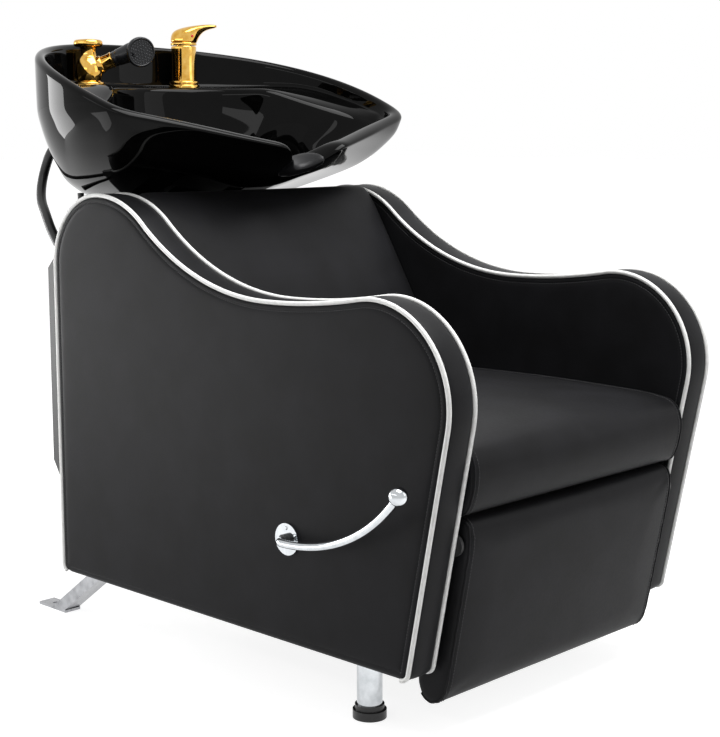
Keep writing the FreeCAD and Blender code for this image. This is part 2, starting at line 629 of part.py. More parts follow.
face_x = "Sizes.arm_seam_x - Sizes.seam_step + Sizes.pad_wall"
hub_out = "Sizes.rosette_wall + Sizes.hub_over"
keep(cylinder("torque_shaft", "Sizes.shaft_r",
              "%s + %s + Sizes.bearing_x + Sizes.shaft_over" % (face_x, hub_out),
              "-(%s) - (%s)" % (face_x, hub_out), "Sizes.shaft_y", "Sizes.shaft_z", "X"), "torque_shaft")
hangers = []
hang = (D["shaft_y"], D["seat_base_z"] - D["board_wall"])
for side, sign in SIDES:
    hangers.append(eye_plate(shaft_at, D["shaft_r"] + D["bearing_rim"], hang, D["shaft_r"] + D["running_gap"],
                             sign * D["bearing_x"] - D["bearing_wall"] / 2, D["bearing_wall"]))
free_form("shaft_bearings", Part.makeCompound(hangers))

rosette = cylinder("rosette_disc", "Sizes.rosette_r", "Sizes.rosette_wall",
                   "-(%s) - Sizes.rosette_wall" % face_x, "Sizes.shaft_y", "Sizes.shaft_z", "X")
rosette_hole = cylinder("rosette_hole", "Sizes.shaft_r + Sizes.running_gap", "Sizes.rosette_wall",
                        "-(%s) - Sizes.rosette_wall" % face_x, "Sizes.shaft_y", "Sizes.shaft_z", "X")
keep(cut("lever_rosette", rosette, [rosette_hole]), "lever_rosette")
heads = []
out_x = -(D["arm_seam_x"] - D["seam_step"] + D["pad_wall"] + D["rosette_wall"])
for turn in (90, 210, 330):
    spot = polar(shaft_at, D["rosette_pitch_r"], turn)
    heads.append(Part.makeCone(D["screw_r"], D["screw_r"] * 0.6, D["screw_high"], Vector(out_x, *spot),
                               Vector(-1, 0, 0)))
free_form("rosette_screws", Part.makeCompound(heads))

rod_start = Vector(out_x - D["hub_over"], *shaft_at)
bend = D["rod_bend_r"]
rod_turn = rod_start + Vector(-bend, -bend, 0)
ball = Vector(-D["arm_seam_x"] - D["ball_x"], shaft_at[0] + D["ball_y"], shaft_at[1] + D["ball_z"])
ahead = Vector(0, -1, 0)
chord = ball - rod_turn
lift = chord - ahead * chord.dot(ahead)
rod_bow_r = chord.dot(chord) / (2 * lift.Length)
bow = rod_turn + lift.normalize() * rod_bow_r
end_ray = (ball - bow).normalize()
sweep = ((rod_turn - bow).normalize()).getAngle(end_ray)
BALL_SOCKET_SHORT = 2
BALL_SOCKET_GAP = 0.05
stop = sweep - math.asin((D["ball_r"] - BALL_SOCKET_SHORT) / rod_bow_r)
start_ray = (rod_turn - bow).normalize()


def on_bow(angle):
    return bow + (start_ray * math.cos(angle) + ahead * math.sin(angle)) * rod_bow_r


corner = rod_start + Vector(0, -bend, 0)
rod_path = Part.Wire([
    Part.Arc(rod_start, corner + Vector(-bend * math.sqrt(0.5), bend * math.sqrt(0.5), 0),
             rod_turn).toShape(),
    Part.Arc(rod_turn, on_bow(stop / 2), on_bow(stop)).toShape(),
])
ring = Part.Wire(Part.makeCircle(D["rod_r"], rod_start, Vector(-1, 0, 0)))
free_form("lever_rod", rod_path.makePipeShell([ring], True, False))
sphere = doc.addObject("Part::Sphere", "ball_sphere")
bind(sphere, Radius="Sizes.ball_r")
sphere.Placement.Base = ball
socket = doc.addObject("Part::Feature", "ball_socket")
ring = Part.Wire(Part.makeCircle(D["rod_r"] + BALL_SOCKET_GAP, rod_start, Vector(-1, 0, 0)))
socket.Shape = rod_path.makePipeShell([ring], True, False)
keep(cut("lever_ball", sphere, [socket]), "lever_ball")


# Base: welded tube frame, chrome front legs on levelling feet, slanted rear legs with anchor plates

rails = []
rail_z = D["arm_bottom_z"]
rail_rear = D["column_y"] + D["rail_wide"] / 2


def tube_box(low, high, along):
    """Square tube between two corners, open at both ends of the axis along."""
    size = high - low
    outer = Part.makeBox(size.x, size.y, size.z, low)
    lean = Vector(*(0 if axis == along else D["rail_wall"] for axis in "xyz"))
    core = Part.makeBox(size.x - 2 * lean.x, size.y - 2 * lean.y, size.z - 2 * lean.z, low + lean)
    return outer.cut(core)


rail_half = D["rail_wide"] / 2
for side, sign in SIDES:
    rails.append(tube_box(Vector(sign * D["rail_x"] - rail_half, D["rail_front_y"], rail_z),
                          Vector(sign * D["rail_x"] + rail_half, rail_rear, rail_z + D["rail_high"]), "y"))
for y in (D["rail_front_y"] + D["cross_y"], D["column_y"]):
    rails.append(tube_box(Vector(-D["rail_x"] + rail_half, y - rail_half, rail_z),
                          Vector(D["rail_x"] - rail_half, y + rail_half, rail_z + D["rail_high"]), "x"))
free_form("base_frame", rails[0].multiFuse(rails[1:]).removeSplitter())
for side, sign in SIDES:
    x = "%d * Sizes.leg_x" % sign
    leg = cylinder("leg_tube_" + side, "Sizes.leg_r", "Sizes.arm_bottom_z - Sizes.foot_high", x,
                   "Sizes.leg_y", "Sizes.foot_high")
    bore = cylinder("leg_bore_" + side, "Sizes.foot_stud_r + Sizes.running_gap", "Sizes.leg_bore", x,
                    "Sizes.leg_y", "Sizes.foot_high")
    keep(cut("front_leg_" + side, leg, [bore]), "front_leg_" + side)
    disc = cylinder("foot_disc_" + side, "Sizes.foot_r", "Sizes.foot_disc", x, "Sizes.leg_y", "0")
    collar = cylinder("foot_collar_" + side, "Sizes.foot_r - Sizes.foot_step", "Sizes.foot_high",
                      x, "Sizes.leg_y", "0")
    stud = cylinder("foot_stud_" + side, "Sizes.foot_stud_r", "Sizes.foot_high + Sizes.foot_stud_up", x,
                    "Sizes.leg_y", "0")
    keep(fuse("front_foot_" + side, [disc, collar, stud]), "front_foot_" + side)
    heel_half = D["heel_wide"] / 2
    low = sign * D["anchor_x"] - heel_half
    plate_z = D["heel_plate"]
    run, strut_low, strut_high = D["strut_run"], D["strut_low_y"], D["strut_high_y"]
    slope = [(strut_low, plate_z), (strut_low + run, plate_z), (strut_high + run, rail_z),
             (strut_high, rail_z)]
    points = [Vector(low, y, z) for y, z in slope]
    strut = Part.Face(Part.makePolygon(points + points[:1])).extrude(Vector(D["heel_wide"], 0, 0))
    plate = Part.makeBox(D["heel_wide"], D["heel_long"], plate_z, Vector(low, D["heel_front_y"], 0))
    hole = Part.makeCylinder(D["anchor_r"], plate_z, Vector(sign * D["anchor_x"], 0, 0))
    free_form("rear_leg_" + side, strut.fuse(plate).removeSplitter().cut(hole))


# Rear casing: sheet shell behind the backrest, with an access panel

def across(points, half):
    """Prism across X over an outline in the side plane."""
    ring = [Vector(-half, y, z) for y, z in points]
    return Part.Face(Part.makePolygon(ring + ring[:1])).extrude(Vector(2 * half, 0, 0))


rear, top, sheet_wall = D["casing_rear_y"], D["casing_top_z"], D["casing_wall"]
front, shoulder = D["casing_front_y"], D["casing_shoulder"]
kick_y, kick_z = D["casing_kick_y"], D["casing_kick_z"]
floor_z = D["arm_bottom_z"] + D["rail_high"]
outline = [(front, floor_z), (rear - kick_y, floor_z), (rear, floor_z + kick_z), (rear, top - shoulder),
           (rear - shoulder, top), (front, top)]
lean_in = sheet_wall / 2
hollow = [(front - 1, floor_z + sheet_wall), (rear - kick_y - lean_in, floor_z + sheet_wall),
          (rear - sheet_wall, floor_z + kick_z + lean_in), (rear - sheet_wall, top - shoulder - lean_in),
          (rear - shoulder - lean_in, top - sheet_wall), (front - 1, top - sheet_wall)]
casing = across(outline, D["casing_half"]).cut(across(hollow, D["casing_half"] - sheet_wall))
casing = casing.cut(Part.makeBox(2 * D["casing_mouth_half"], D["casing_mouth_long"], 3 * sheet_wall,
                                 Vector(-D["casing_mouth_half"], front, top - 2 * sheet_wall)))
column_half = D["column_wide"] / 2
hole_half = column_half + 1
casing = casing.cut(Part.makeBox(2 * hole_half, 2 * hole_half, 3 * sheet_wall,
                                 Vector(-hole_half, D["column_y"] - hole_half, floor_z - sheet_wall)))
free_form("rear_casing", casing)
keep(box("access_panel", "Sizes.panel_wide", "Sizes.panel_wall", "Sizes.panel_high", "-Sizes.panel_wide / 2",
         "Sizes.casing_rear_y", "Sizes.panel_low_z"), "access_panel")


# Bowl carrier: column, tilt bracket, bolt and cradle

column_top = D["tilt_z"] - D["column_drop"]
column = tube_box(Vector(-column_half, D["column_y"] - column_half, floor_z),
                  Vector(column_half, D["column_y"] + column_half, column_top), "z")
free_form("bowl_column", column)
lug = D["lug_wall"]
tilt_at = (D["tilt_y"], D["tilt_z"])
plate_wall = D["bracket_wall"]
fork_out = D["fork_half"] + D["fork_wide"]
bracket = Part.makeBox(2 * fork_out, 2 * column_half, plate_wall,
                       Vector(-fork_out, D["column_y"] - column_half, column_top))
fork_from = D["column_y"]
bolt_long = D["tilt_out_x"] - D["tilt_in_x"]
bolts = []
for sign in (-1, 1):
    arm_low = min(sign * D["fork_half"], sign * fork_out)
    bracket = bracket.fuse(Part.makeBox(D["fork_wide"], D["fork_rear_y"] - fork_from, plate_wall,
                                        Vector(arm_low, fork_from, column_top)))
    bracket = bracket.fuse(eye_plate(tilt_at, D["lug_r"], (D["tilt_y"], column_top + plate_wall / 2), 0,
                                     sign * D["lug_x"] - lug / 2, lug))
    bolts.append(Part.makeCylinder(D["tilt_r"], bolt_long, Vector(sign * D["tilt_in_x"], *tilt_at),
                                   Vector(sign, 0, 0)))
bolts_from, bolts_long = Vector(-D["tilt_out_x"], *tilt_at), 2 * D["tilt_out_x"]
bolt_hole = Part.makeCylinder(D["tilt_r"] + D["press_gap"], bolts_long, bolts_from, Vector(1, 0, 0))
free_form("tilt_bracket", bracket.removeSplitter().cut(bolt_hole))
free_form("tilt_bolt", Part.makeCompound(bolts))
cradle_z = D["bowl_base_z"] - lug
cradle = Part.makeBox(2 * D["cradle_half"], D["cradle_long"], lug,
                      Vector(-D["cradle_half"], D["cradle_front_y"], cradle_z))
for sign in (-1, 1):
    cradle = cradle.fuse(eye_plate(tilt_at, D["cradle_lug_r"], (D["tilt_y"], cradle_z + lug / 2), 0,
                                   sign * D["cradle_lug_x"] - lug / 2, lug))
swing_hole = Part.makeCylinder(D["tilt_r"] + D["running_gap"], bolts_long, bolts_from, Vector(1, 0, 0))
drain_hole = Part.makeCylinder(D["drain_r"] + D["cradle_hole_rim"], 3 * lug,
                               Vector(0, D["drain_y"], cradle_z - lug))
free_form("bowl_cradle", cradle.removeSplitter().cut(swing_hole).cut(drain_hole))


# Bowl: ceramic shell lofted through level outlines and trimmed along a curved rim

BOWL_LEVELS = (
    # height above the base, share of the half width, and the front and rear edges back from the rim's
    (0, 0.54, 272, -42),
    (36, 0.745, 156, -10),
    (62, 0.84, 82, -6),
    (92, 0.92, 38, -4),
    (128, 0.984, 5, -1),
    (165, 1.014, -3, 2),
    (310, 1.02, -3, 3),
)


def bowl_outline(z, half, front, rear):
    """Level outline: blunt front, rounded front corners, sides that draw in to a round rear."""
    long = rear - front
    scale = long / (D["bowl_rear_y"] - D["bowl_front_y"])
    corner_y = front + scale * (D["bowl_corner_y"] - D["bowl_front_y"])
    tip = half * 0.2
    shoulder = (half * D["bowl_shoulder_x"] / D["bowl_half"],
                rear - scale * (D["bowl_rear_y"] - D["bowl_shoulder_y"]))
    near = (half * 0.93, corner_y - long * 0.035)
    far = (half, corner_y + long * 0.05)
    edges = [arc((-tip, front + 4, z), (0, front, z), (tip, front + 4, z))]
    right = [
        ((tip, front + 4), (half * 0.6, (front + 4) * 0.36 + near[1] * 0.64 - long * 0.012), near),
        (near, (half * 0.985, corner_y), far),
        (far, (half * 0.962, corner_y * 0.42 + shoulder[1] * 0.58), shoulder),
    ]
    edges += [arc((*a, z), (*b, z), (*c, z)) for a, b, c in right]
    edges.append(arc((*shoulder, z), (0, rear, z), (-shoulder[0], shoulder[1], z)))
    edges += [arc((-c[0], c[1], z), (-b[0], b[1], z), (-a[0], a[1], z)) for a, b, c in reversed(right)]
    return Part.Wire(edges)


def bowl_loft(inset, lift):
    """Bowl body through all levels, drawn in by inset and raised by lift."""
    wires = []
    for high, share, ahead_by, behind_by in BOWL_LEVELS:
        z = D["bowl_base_z"] + high + lift
        wires.append(bowl_outline(z, D["bowl_half"] * share - inset, D["bowl_front_y"] + ahead_by + inset,
                                  D["bowl_rear_y"] + behind_by - inset))
    return Part.makeLoft(wires, True, False)


wide = 1.2 * D["bowl_half"]
low_z = D["bowl_base_z"] - 2 * D["bowl_floor"]
rim_rear, rim_front = (-wide, D["rim_rear_y"], D["rim_rear_z"]), (-wide, D["rim_front_y"], D["rim_front_z"])
low_rear, low_front = (-wide, D["rim_rear_y"], low_z), (-wide, D["rim_front_y"], low_z)
rim_edges = [
    arc(rim_rear, (-wide, D["rim_middle_y"], D["rim_middle_z"]), rim_front),
    line(rim_front, low_front),
    line(low_front, low_rear),
    line(low_rear, rim_rear),
]
under_rim = Part.Face(Part.Wire(rim_edges)).extrude(Vector(2 * wide, 0, 0))
shell = bowl_loft(0, 0).common(under_rim)
ledge_long = 2 * (D["bowl_rear_y"] - D["deck_front_y"])
tall = D["rim_rear_z"] - low_z
ledge = Part.makeBox(2 * wide, ledge_long, D["deck_z"] - low_z, Vector(-wide, D["deck_front_y"], low_z))
ledge = ledge.cut(Part.makeCylinder(D["basin_r"], tall, Vector(0, D["basin_y"], low_z)))
hollow = bowl_loft(D["bowl_wall"], D["bowl_floor"]).cut(ledge)
notch_top = D["notch_z"] + D["notch_half"]
notch_from = D["bowl_front_y"] - D["notch_half"]
notch_long = 2.5 * D["notch_half"]
notch = Part.makeCylinder(D["notch_half"], notch_long, Vector(0, notch_from, notch_top), Vector(0, 1, 0))
notch = notch.fuse(Part.makeBox(2 * D["notch_half"], notch_long, 2 * D["notch_half"],
                                Vector(-D["notch_half"], notch_from, notch_top)))
drain = Part.makeCylinder(D["drain_r"], D["deck_z"] - low_z, Vector(0, D["drain_y"], low_z))
bowl = shell.cut(hollow).cut(notch).cut(drain)
for x, y in ((D["mixer_x"], D["mixer_y"]), (D["holder_x"], D["holder_y"])):
    bowl = bowl.cut(Part.makeCylinder(D["tap_hole_r"], tall, Vector(x, y, low_z)))
free_form("bowl", bowl)


# Neck pad, drain

pad_r = D["notch_half"] - D["soft_gap"]
pad_front = D["bowl_front_y"] + D["neck_pad_back"]
centre = (0, notch_top)
ring_out = [polar(centre, pad_r, a) for a in (180, 225, 270, 315, 360)]
ring_in = [polar(centre, pad_r - D["neck_pad_wall"], a) for a in (180, 225, 270, 315, 360)]


def stand(point):
    return (point[0], pad_front, point[1])


pad_edges = [
    arc(*(stand(p) for p in ring_out[0:3])), arc(*(stand(p) for p in ring_out[2:5])),
    line(stand(ring_out[4]), stand(ring_in[4])),
    arc(*(stand(p) for p in reversed(ring_in[2:5]))), arc(*(stand(p) for p in reversed(ring_in[0:3]))),
    line(stand(ring_in[0]), stand(ring_out[0])),
]
free_form("neck_pad", Part.Face(Part.Wire(pad_edges)).extrude(Vector(0, D["neck_pad_long"], 0)))


def turned(label, profile, place):
    """Turned piece: half outline of (radius, height) points, revolved about its own Z axis."""
    body = doc.addObject("PartDesign::Body", label + "_body")
    plane = [o for o in body.Origin.OriginFeatures if o.Role == "XZ_Plane"][0]
    sketch = body.newObject("Sketcher::SketchObject", label + "_half")
    sketch.AttachmentSupport = [(plane, "")]
    sketch.MapMode = "FlatFace"
    ring = [Vector(radius, height, 0) for radius, height in profile]
    for first, last in zip(ring, ring[1:] + ring[:1]):
        sketch.addGeometry(Part.LineSegment(first, last), False)
    turn = body.newObject("PartDesign::Revolution", label + "_turn")
    turn.Profile = sketch
    turn.ReferenceAxis = (sketch, ["V_Axis"])
    turn.Angle = 360
    body.Placement = place
    return body


floor_top = D["bowl_base_z"] + D["bowl_floor"]
drain_gap = 0.3
cup = D["drain_r"] - drain_gap
drain_place = Placement(Vector(0, D["drain_y"], floor_top + drain_gap), Rotation())
strainer = [(0, 0), (cup + 8, 0), (cup + 8, 1.5), (cup, 4), (0, 4)]
keep(turned("drain_strainer", strainer, drain_place), "drain_strainer")
tail_r, tail_low = D["tail_r"], -D["tail_long"]
tail_bore = tail_r - D["tail_wall"]
spigot_top = tail_low + D["spigot_long"]
tailpiece = [(tail_bore, 0), (tail_r, 0), (tail_r, spigot_top), (D["spigot_r"], spigot_top),
             (D["spigot_r"], tail_low), (tail_bore, tail_low)]
keep(turned("drain_tailpiece", tailpiece, drain_place), "drain_tailpiece")
nut_top = D["bowl_base_z"] - drain_gap
nut_place = Placement(Vector(0, D["drain_y"], nut_top), Rotation())
nut_bore, nut_r, nut_low = tail_r + drain_gap, tail_r + D["nut_rim"], -D["nut_high"]
keep(turned("drain_locknut", [(nut_bore, 0), (nut_r, 0), (nut_r, nut_low), (nut_bore, nut_low)], nut_place),
     "drain_locknut")

# Mixer: base ring, body, turning cartridge and lifting beak handle

FITTING_TURN = -46
mixer_place = Placement(Vector(D["mixer_x"], D["mixer_y"], D["deck_z"]), Rotation())
mixer_r, joint = D["mixer_r"], D["mixer_joint"]
base_r, base_high = D["mixer_base_r"], 13
base_ring = [(0, 0), (base_r, 0), (base_r, 5), (base_r - 3, 7), (base_r - 1, 10), (mixer_r + 1, base_high),
             (0, base_high)]
keep(turned("mixer_base", base_ring, mixer_place), "mixer_base")
cartridge_r, cartridge_low, cartridge_up = 14, 17.5, 8
well_r, well_low = cartridge_r + D["running_gap"], joint - cartridge_low - 0.5
waisted = [(0, base_high), (mixer_r, base_high), (mixer_r - 1.5, joint * 0.55), (mixer_r, joint),
           (well_r, joint), (well_r, well_low), (0, well_low)]
keep(turned("mixer_body", waisted, mixer_place), "mixer_body")
core = [(0, joint - cartridge_low), (cartridge_r, joint - cartridge_low), (cartridge_r, joint + cartridge_up),
        (0, joint + cartridge_up)]
keep(turned("mixer_cartridge", core, mixer_place), "mixer_cartridge")
swing_gap, room_r, room_high, beak_half = 0.4, cartridge_r + 6, 12, 11
cap_low, cap_high = joint + swing_gap, joint + D["mixer_cap"]
cap = Part.makeCylinder(mixer_r, cap_high - cap_low, Vector(0, 0, cap_low))
beak_points = [(10, cap_low + 8), (62, cap_low + 30), (66, cap_low + 40), (52, cap_low + 42),
               (-mixer_r + 6, cap_high + 10), (-mixer_r + 3, cap_low + 20)]
beak_ring = [Vector(x, -beak_half, z) for x, z in beak_points + beak_points[:1]]
beak = Part.Face(Part.makePolygon(beak_ring)).extrude(Vector(0, 2 * beak_half, 0))
room = Part.makeCylinder(room_r, room_high + swing_gap, Vector(0, 0, joint))
handle = cap.fuse(beak).removeSplitter().cut(room)
handle.Placement = mixer_place.multiply(Placement(Vector(), Rotation(Vector(0, 0, 1), FITTING_TURN)))
free_form("mixer_handle", handle)

# Spray holder with its cap, socket and hand spray

holder_place = Placement(Vector(D["holder_x"], D["holder_y"], D["deck_z"]), Rotation())
ball_r, neck_r, collar_r = D["holder_ball_r"], D["holder_neck_r"], D["collar_r"]
flange_wall, flange_rim, neck_long, collar_over, socket_wall = 7, 3, 16, 24, 2
ball_z = flange_wall - 1 + ball_r * 0.9
neck_top = ball_z + ball_r + neck_long
flange = Part.makeCylinder(ball_r + flange_rim, flange_wall)
body_ball = Part.makeSphere(ball_r, Vector(0, 0, ball_z)).common(Part.makeCylinder(2 * ball_r, 4 * ball_r))
holder = flange.fuse(body_ball).fuse(Part.makeCylinder(neck_r, neck_top))
spray_lift = math.radians(D["spray_rise"])
fitting_turn = Rotation(Vector(0, 0, 1), FITTING_TURN)
spray_axis = fitting_turn.multVec(Vector(math.cos(spray_lift), 0, math.sin(spray_lift)))
centre = Vector(0, 0, ball_z)
collar_long = ball_r + collar_over
holder = holder.fuse(Part.makeCylinder(collar_r, collar_long, centre, spray_axis)).removeSplitter()
socket_from = centre + spray_axis * (ball_r + socket_wall)
holder = holder.cut(Part.makeCylinder(D["spray_r"] + D["running_gap"], collar_long, socket_from, spray_axis))
holder.Placement = holder_place
free_form("spray_holder", holder)
cap_r, lid = D["holder_cap_r"], neck_top + 0.2
button = [(0, lid), (cap_r - 5, lid), (cap_r, lid + 4), (cap_r, lid + 11), (cap_r - 4, lid + 14),
          (0, lid + 14.5)]
keep(turned("holder_cap", button, holder_place), "holder_cap")
seat_gap, grip_long, cone_long, disc_wall = 0.5, 40, 14, 10
stem_from = socket_from + spray_axis * seat_gap
neck_from = centre + spray_axis * (collar_long + seat_gap)
stem = Part.makeCylinder(D["spray_r"], (neck_from - stem_from).Length + 1, stem_from, spray_axis)
grip = Part.makeCone(collar_r - 1, collar_r + 3, grip_long, neck_from, spray_axis)
sprayer = stem.fuse(grip).removeSplitter()
sprayer.Placement = holder_place
free_form("sprayer_grip", sprayer)
head_at = neck_from + spray_axis * (grip_long + 0.3)
head = Part.makeCone(collar_r + 2, D["spray_head_r"], cone_long, head_at, spray_axis)
disc_at = head_at + spray_axis * cone_long
head = head.fuse(Part.makeCylinder(D["spray_head_r"], disc_wall, disc_at, spray_axis)).removeSplitter()
head.Placement = holder_place
free_form("sprayer_head", head)

# Hoses: straight runs joined by tangent arcs as large as the runs allow

# Their upper points hang from the bowl, their last points stand on the casing
bowl_z, casing_z = D["bowl_base_z"], D["casing_top_z"]
SPRAY_ROUTE = [(-148, 82, bowl_z + 114), (-158, 112, bowl_z + 98), (-174, 124, bowl_z + 42),
               (-204, 92, bowl_z - 2), (-224, 46, casing_z + 50), (-238, 8, casing_z + 18),
               (-240, -31.7, casing_z - 21.7)]
FEED_ROUTE = [(-222, -62, bowl_z + 13), (-223, -64, bowl_z - 6), (-224, -66, casing_z + 45),
              (-224, -66, casing_z + 0.3)]



def hose(label, route, radius):
    """Tube along a route, with the radius of each bend printed."""
    points = [Vector(*point) for point in route]
    edges = []
    last = points[0]
    for before, at, after in zip(points, points[1:], points[2:]):
        inward, outward = at - before, after - at
        turn = inward.getAngle(outward)
        trim = 0.45 * min(inward.Length, outward.Length)
        bend = trim / math.tan(turn / 2)
        first = at - inward.normalize() * trim
        final = at + outward.normalize() * trim
        bisector = (first + final) * 0.5 - at
        depth = bend / math.cos(turn / 2) - bend
        middle = at + bisector.normalize() * depth
        edges.append(Part.LineSegment(last, first).toShape())
        edges.append(Part.Arc(first, middle, final).toShape())
        last = final
        print(label, "bend radius", round(bend))
    edges.append(Part.LineSegment(last, points[-1]).toShape())
    path = Part.Wire(edges)
    ring = Part.Wire(Part.makeCircle(radius, points[0], points[1] - points[0]))
    tube = path.makePipeShell([ring], True, False)
    fill = tube.Volume / (math.pi * radius ** 2 * path.Length)
    print(label, "length", round(path.Length), "fill", round(fill, 4))
    return free_form(label, tube)


hose("spray_hose", SPRAY_ROUTE, D["spray_hose_r"])
hose("feed_hose", FEED_ROUTE, D["feed_hose_r"])


# Writing
doc.recompute()
failed = [obj.Name for obj in doc.Objects if "Invalid" in obj.State or "Error" in obj.State]
for obj in parts:
    shape = obj.Shape
    if shape.isNull() or not shape.isValid():
        failed.append(obj.Label)
if failed:
    raise RuntimeError("failed: " + ", ".join(failed))
os.makedirs("parts", exist_ok=True)
for obj in parts:
    obj.Shape.exportStep("parts/%s.step" % obj.Label)
    print(obj.Label, len(obj.Shape.Solids), round(obj.Shape.Volume))
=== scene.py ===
import json
import math

import bpy
from mathutils import Euler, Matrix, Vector
from mathutils.bvhtree import BVHTree


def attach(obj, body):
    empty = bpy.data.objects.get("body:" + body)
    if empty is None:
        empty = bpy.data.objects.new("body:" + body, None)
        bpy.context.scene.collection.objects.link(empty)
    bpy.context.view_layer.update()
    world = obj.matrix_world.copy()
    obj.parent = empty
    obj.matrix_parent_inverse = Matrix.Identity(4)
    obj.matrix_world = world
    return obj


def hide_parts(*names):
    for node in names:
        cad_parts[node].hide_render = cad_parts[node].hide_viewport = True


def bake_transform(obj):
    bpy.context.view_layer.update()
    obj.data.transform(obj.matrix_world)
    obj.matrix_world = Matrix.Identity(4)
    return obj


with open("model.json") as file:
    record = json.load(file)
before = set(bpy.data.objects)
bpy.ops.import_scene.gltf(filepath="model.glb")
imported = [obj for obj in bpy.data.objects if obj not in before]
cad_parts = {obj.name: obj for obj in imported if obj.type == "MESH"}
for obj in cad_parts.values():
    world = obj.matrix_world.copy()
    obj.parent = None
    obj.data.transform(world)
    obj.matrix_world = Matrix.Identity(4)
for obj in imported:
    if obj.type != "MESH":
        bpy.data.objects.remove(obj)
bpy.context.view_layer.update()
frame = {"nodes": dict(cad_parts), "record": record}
MM = 0.001
SIDES = (("right", -1), ("left", 1))

# Camera: the photograph's place and lens, in metres, degrees and pixels

PHOTO_SIZE = (720, 737)
FOCAL_PX = 1549
CAMERA_AT = (-1.917, -2.398, 0.894)
CAMERA_YAW = -46.13
CAMERA_PITCH = 8.70


def set_camera():
    camera = bpy.data.cameras.new("camera")
    camera.sensor_width = 36
    camera.lens = camera.sensor_width * FOCAL_PX / max(PHOTO_SIZE)
    holder = bpy.data.objects.new("camera", camera)
    bpy.context.collection.objects.link(holder)
    holder.location = CAMERA_AT
    holder.rotation_euler = Euler((math.radians(90 - CAMERA_PITCH), 0, math.radians(CAMERA_YAW)))
    bpy.context.scene.camera = holder


# Materials

def linear(code):
    """Linear colour of an sRGB hex value."""
    out = []
    for at in (1, 3, 5):
        share = int(code[at:at + 2], 16) / 255
        out.append(share / 12.92 if share <= 0.04045 else ((share + 0.055) / 1.055) ** 2.4)
    return (*out, 1)


def add(tree, kind, inputs=None, **settings):
    """Adds a node with its settings; inputs are values or other nodes' sockets."""
    node = tree.nodes.new(kind)
    for name, value in settings.items():
        setattr(node, name, value)
    for name, value in (inputs or {}).items():
        if isinstance(value, bpy.types.NodeSocket):
            tree.links.new(value, node.inputs[name])
        else:
            node.inputs[name].default_value = value
    return node


def material(name, shader):
    """A material with one principled shader; returns it, its tree and the shader."""
    made = bpy.data.materials.new(name)
    made.use_nodes = True
    tree = made.node_tree
    principled = tree.nodes["Principled BSDF"]
    for socket, value in shader.items():
        principled.inputs[socket].default_value = value
    return made, tree, principled


def bump(tree, principled, height, depth, strength):
    node = add(tree, "ShaderNodeBump", {"Height": height, "Distance": depth, "Strength": strength})
    tree.links.new(node.outputs["Normal"], principled.inputs["Normal"])


def spread(tree, source, low, high):
    """Spreads a 0 to 1 pattern between two values."""
    node = add(tree, "ShaderNodeMapRange", {"Value": source, "To Min": low, "To Max": high})
    return node.outputs["Result"]


TONE_FROM, TONE_TO = 0.3, 0.7


def two_tone(tree, source, first, second):
    """Two sRGB colours blended over the middle of a 0 to 1 pattern."""
    ramp = add(tree, "ShaderNodeValToRGB", {"Fac": source})
    for element, at, code in zip(ramp.color_ramp.elements, (TONE_FROM, TONE_TO), (first, second)):
        element.position = at
        element.color = linear(code)
    return ramp.outputs["Color"]


def per_metre(size_mm):
    """Texture scale that gives one cell per size_mm on Object coordinates."""
    return 1 / (size_mm * MM)


def leathercloth():
    # Black PU leathercloth, calendered: a satin skin with a fine pebble grain and soft clouds of tone.
    # The real pebble is 0.6 mm; it is drawn at 1.6 mm to show at all in the picture.
    made, tree, shader = material("black_leathercloth", {
        "IOR": 1.5, "Specular IOR Level": 0.07, "Sheen Weight": 0.01, "Sheen Roughness": 0.4})
    place = add(tree, "ShaderNodeTexCoord").outputs["Object"]
    pebble = add(tree, "ShaderNodeTexVoronoi", {"Vector": place, "Scale": per_metre(1.6)})
    crease = add(tree, "ShaderNodeTexNoise", {"Vector": place, "Scale": per_metre(5), "Detail": 5.0})
    cloud = add(tree, "ShaderNodeTexNoise", {"Vector": place, "Scale": per_metre(70), "Detail": 3.0})
    grain = add(tree, "ShaderNodeMath", {0: pebble.outputs["Distance"], 1: crease.outputs["Fac"]},
                operation="ADD")
    tree.links.new(two_tone(tree, cloud.outputs["Fac"], "#161617", "#1c1c1e"), shader.inputs["Base Color"])
    tree.links.new(spread(tree, crease.outputs["Fac"], 0.38, 0.52), shader.inputs["Roughness"])
    bump(tree, shader, grain.outputs["Value"], 0.00012, 0.5)
    return made


def white_welt():
    # White vinyl piping over cord: smooth, with a slight waviness from the cord inside.
    made, tree, shader = material("white_vinyl_welt", {"Roughness": 0.38, "IOR": 1.5})
    place = add(tree, "ShaderNodeTexCoord").outputs["Object"]
    wave = add(tree, "ShaderNodeTexNoise", {"Vector": place, "Scale": per_metre(9), "Detail": 3.0})
    tree.links.new(two_tone(tree, wave.outputs["Fac"], "#e6e6e4", "#f4f4f2"), shader.inputs["Base Color"])
    bump(tree, shader, wave.outputs["Fac"], 0.0003, 0.5)
    return made


def thread():
    # Black polyester sewing thread: a dull twist.
    made, tree, shader = material("black_thread", {"Roughness": 0.62, "IOR": 1.5})
    place = add(tree, "ShaderNodeTexCoord").outputs["Object"]
    twist = add(tree, "ShaderNodeTexNoise", {"Vector": place, "Scale": per_metre(1.2), "Detail": 2.0})
    tree.links.new(two_tone(tree, twist.outputs["Fac"], "#19191a", "#2a2a2c"), shader.inputs["Base Color"])
    bump(tree, shader, twist.outputs["Fac"], 0.0002, 0.6)
    return made


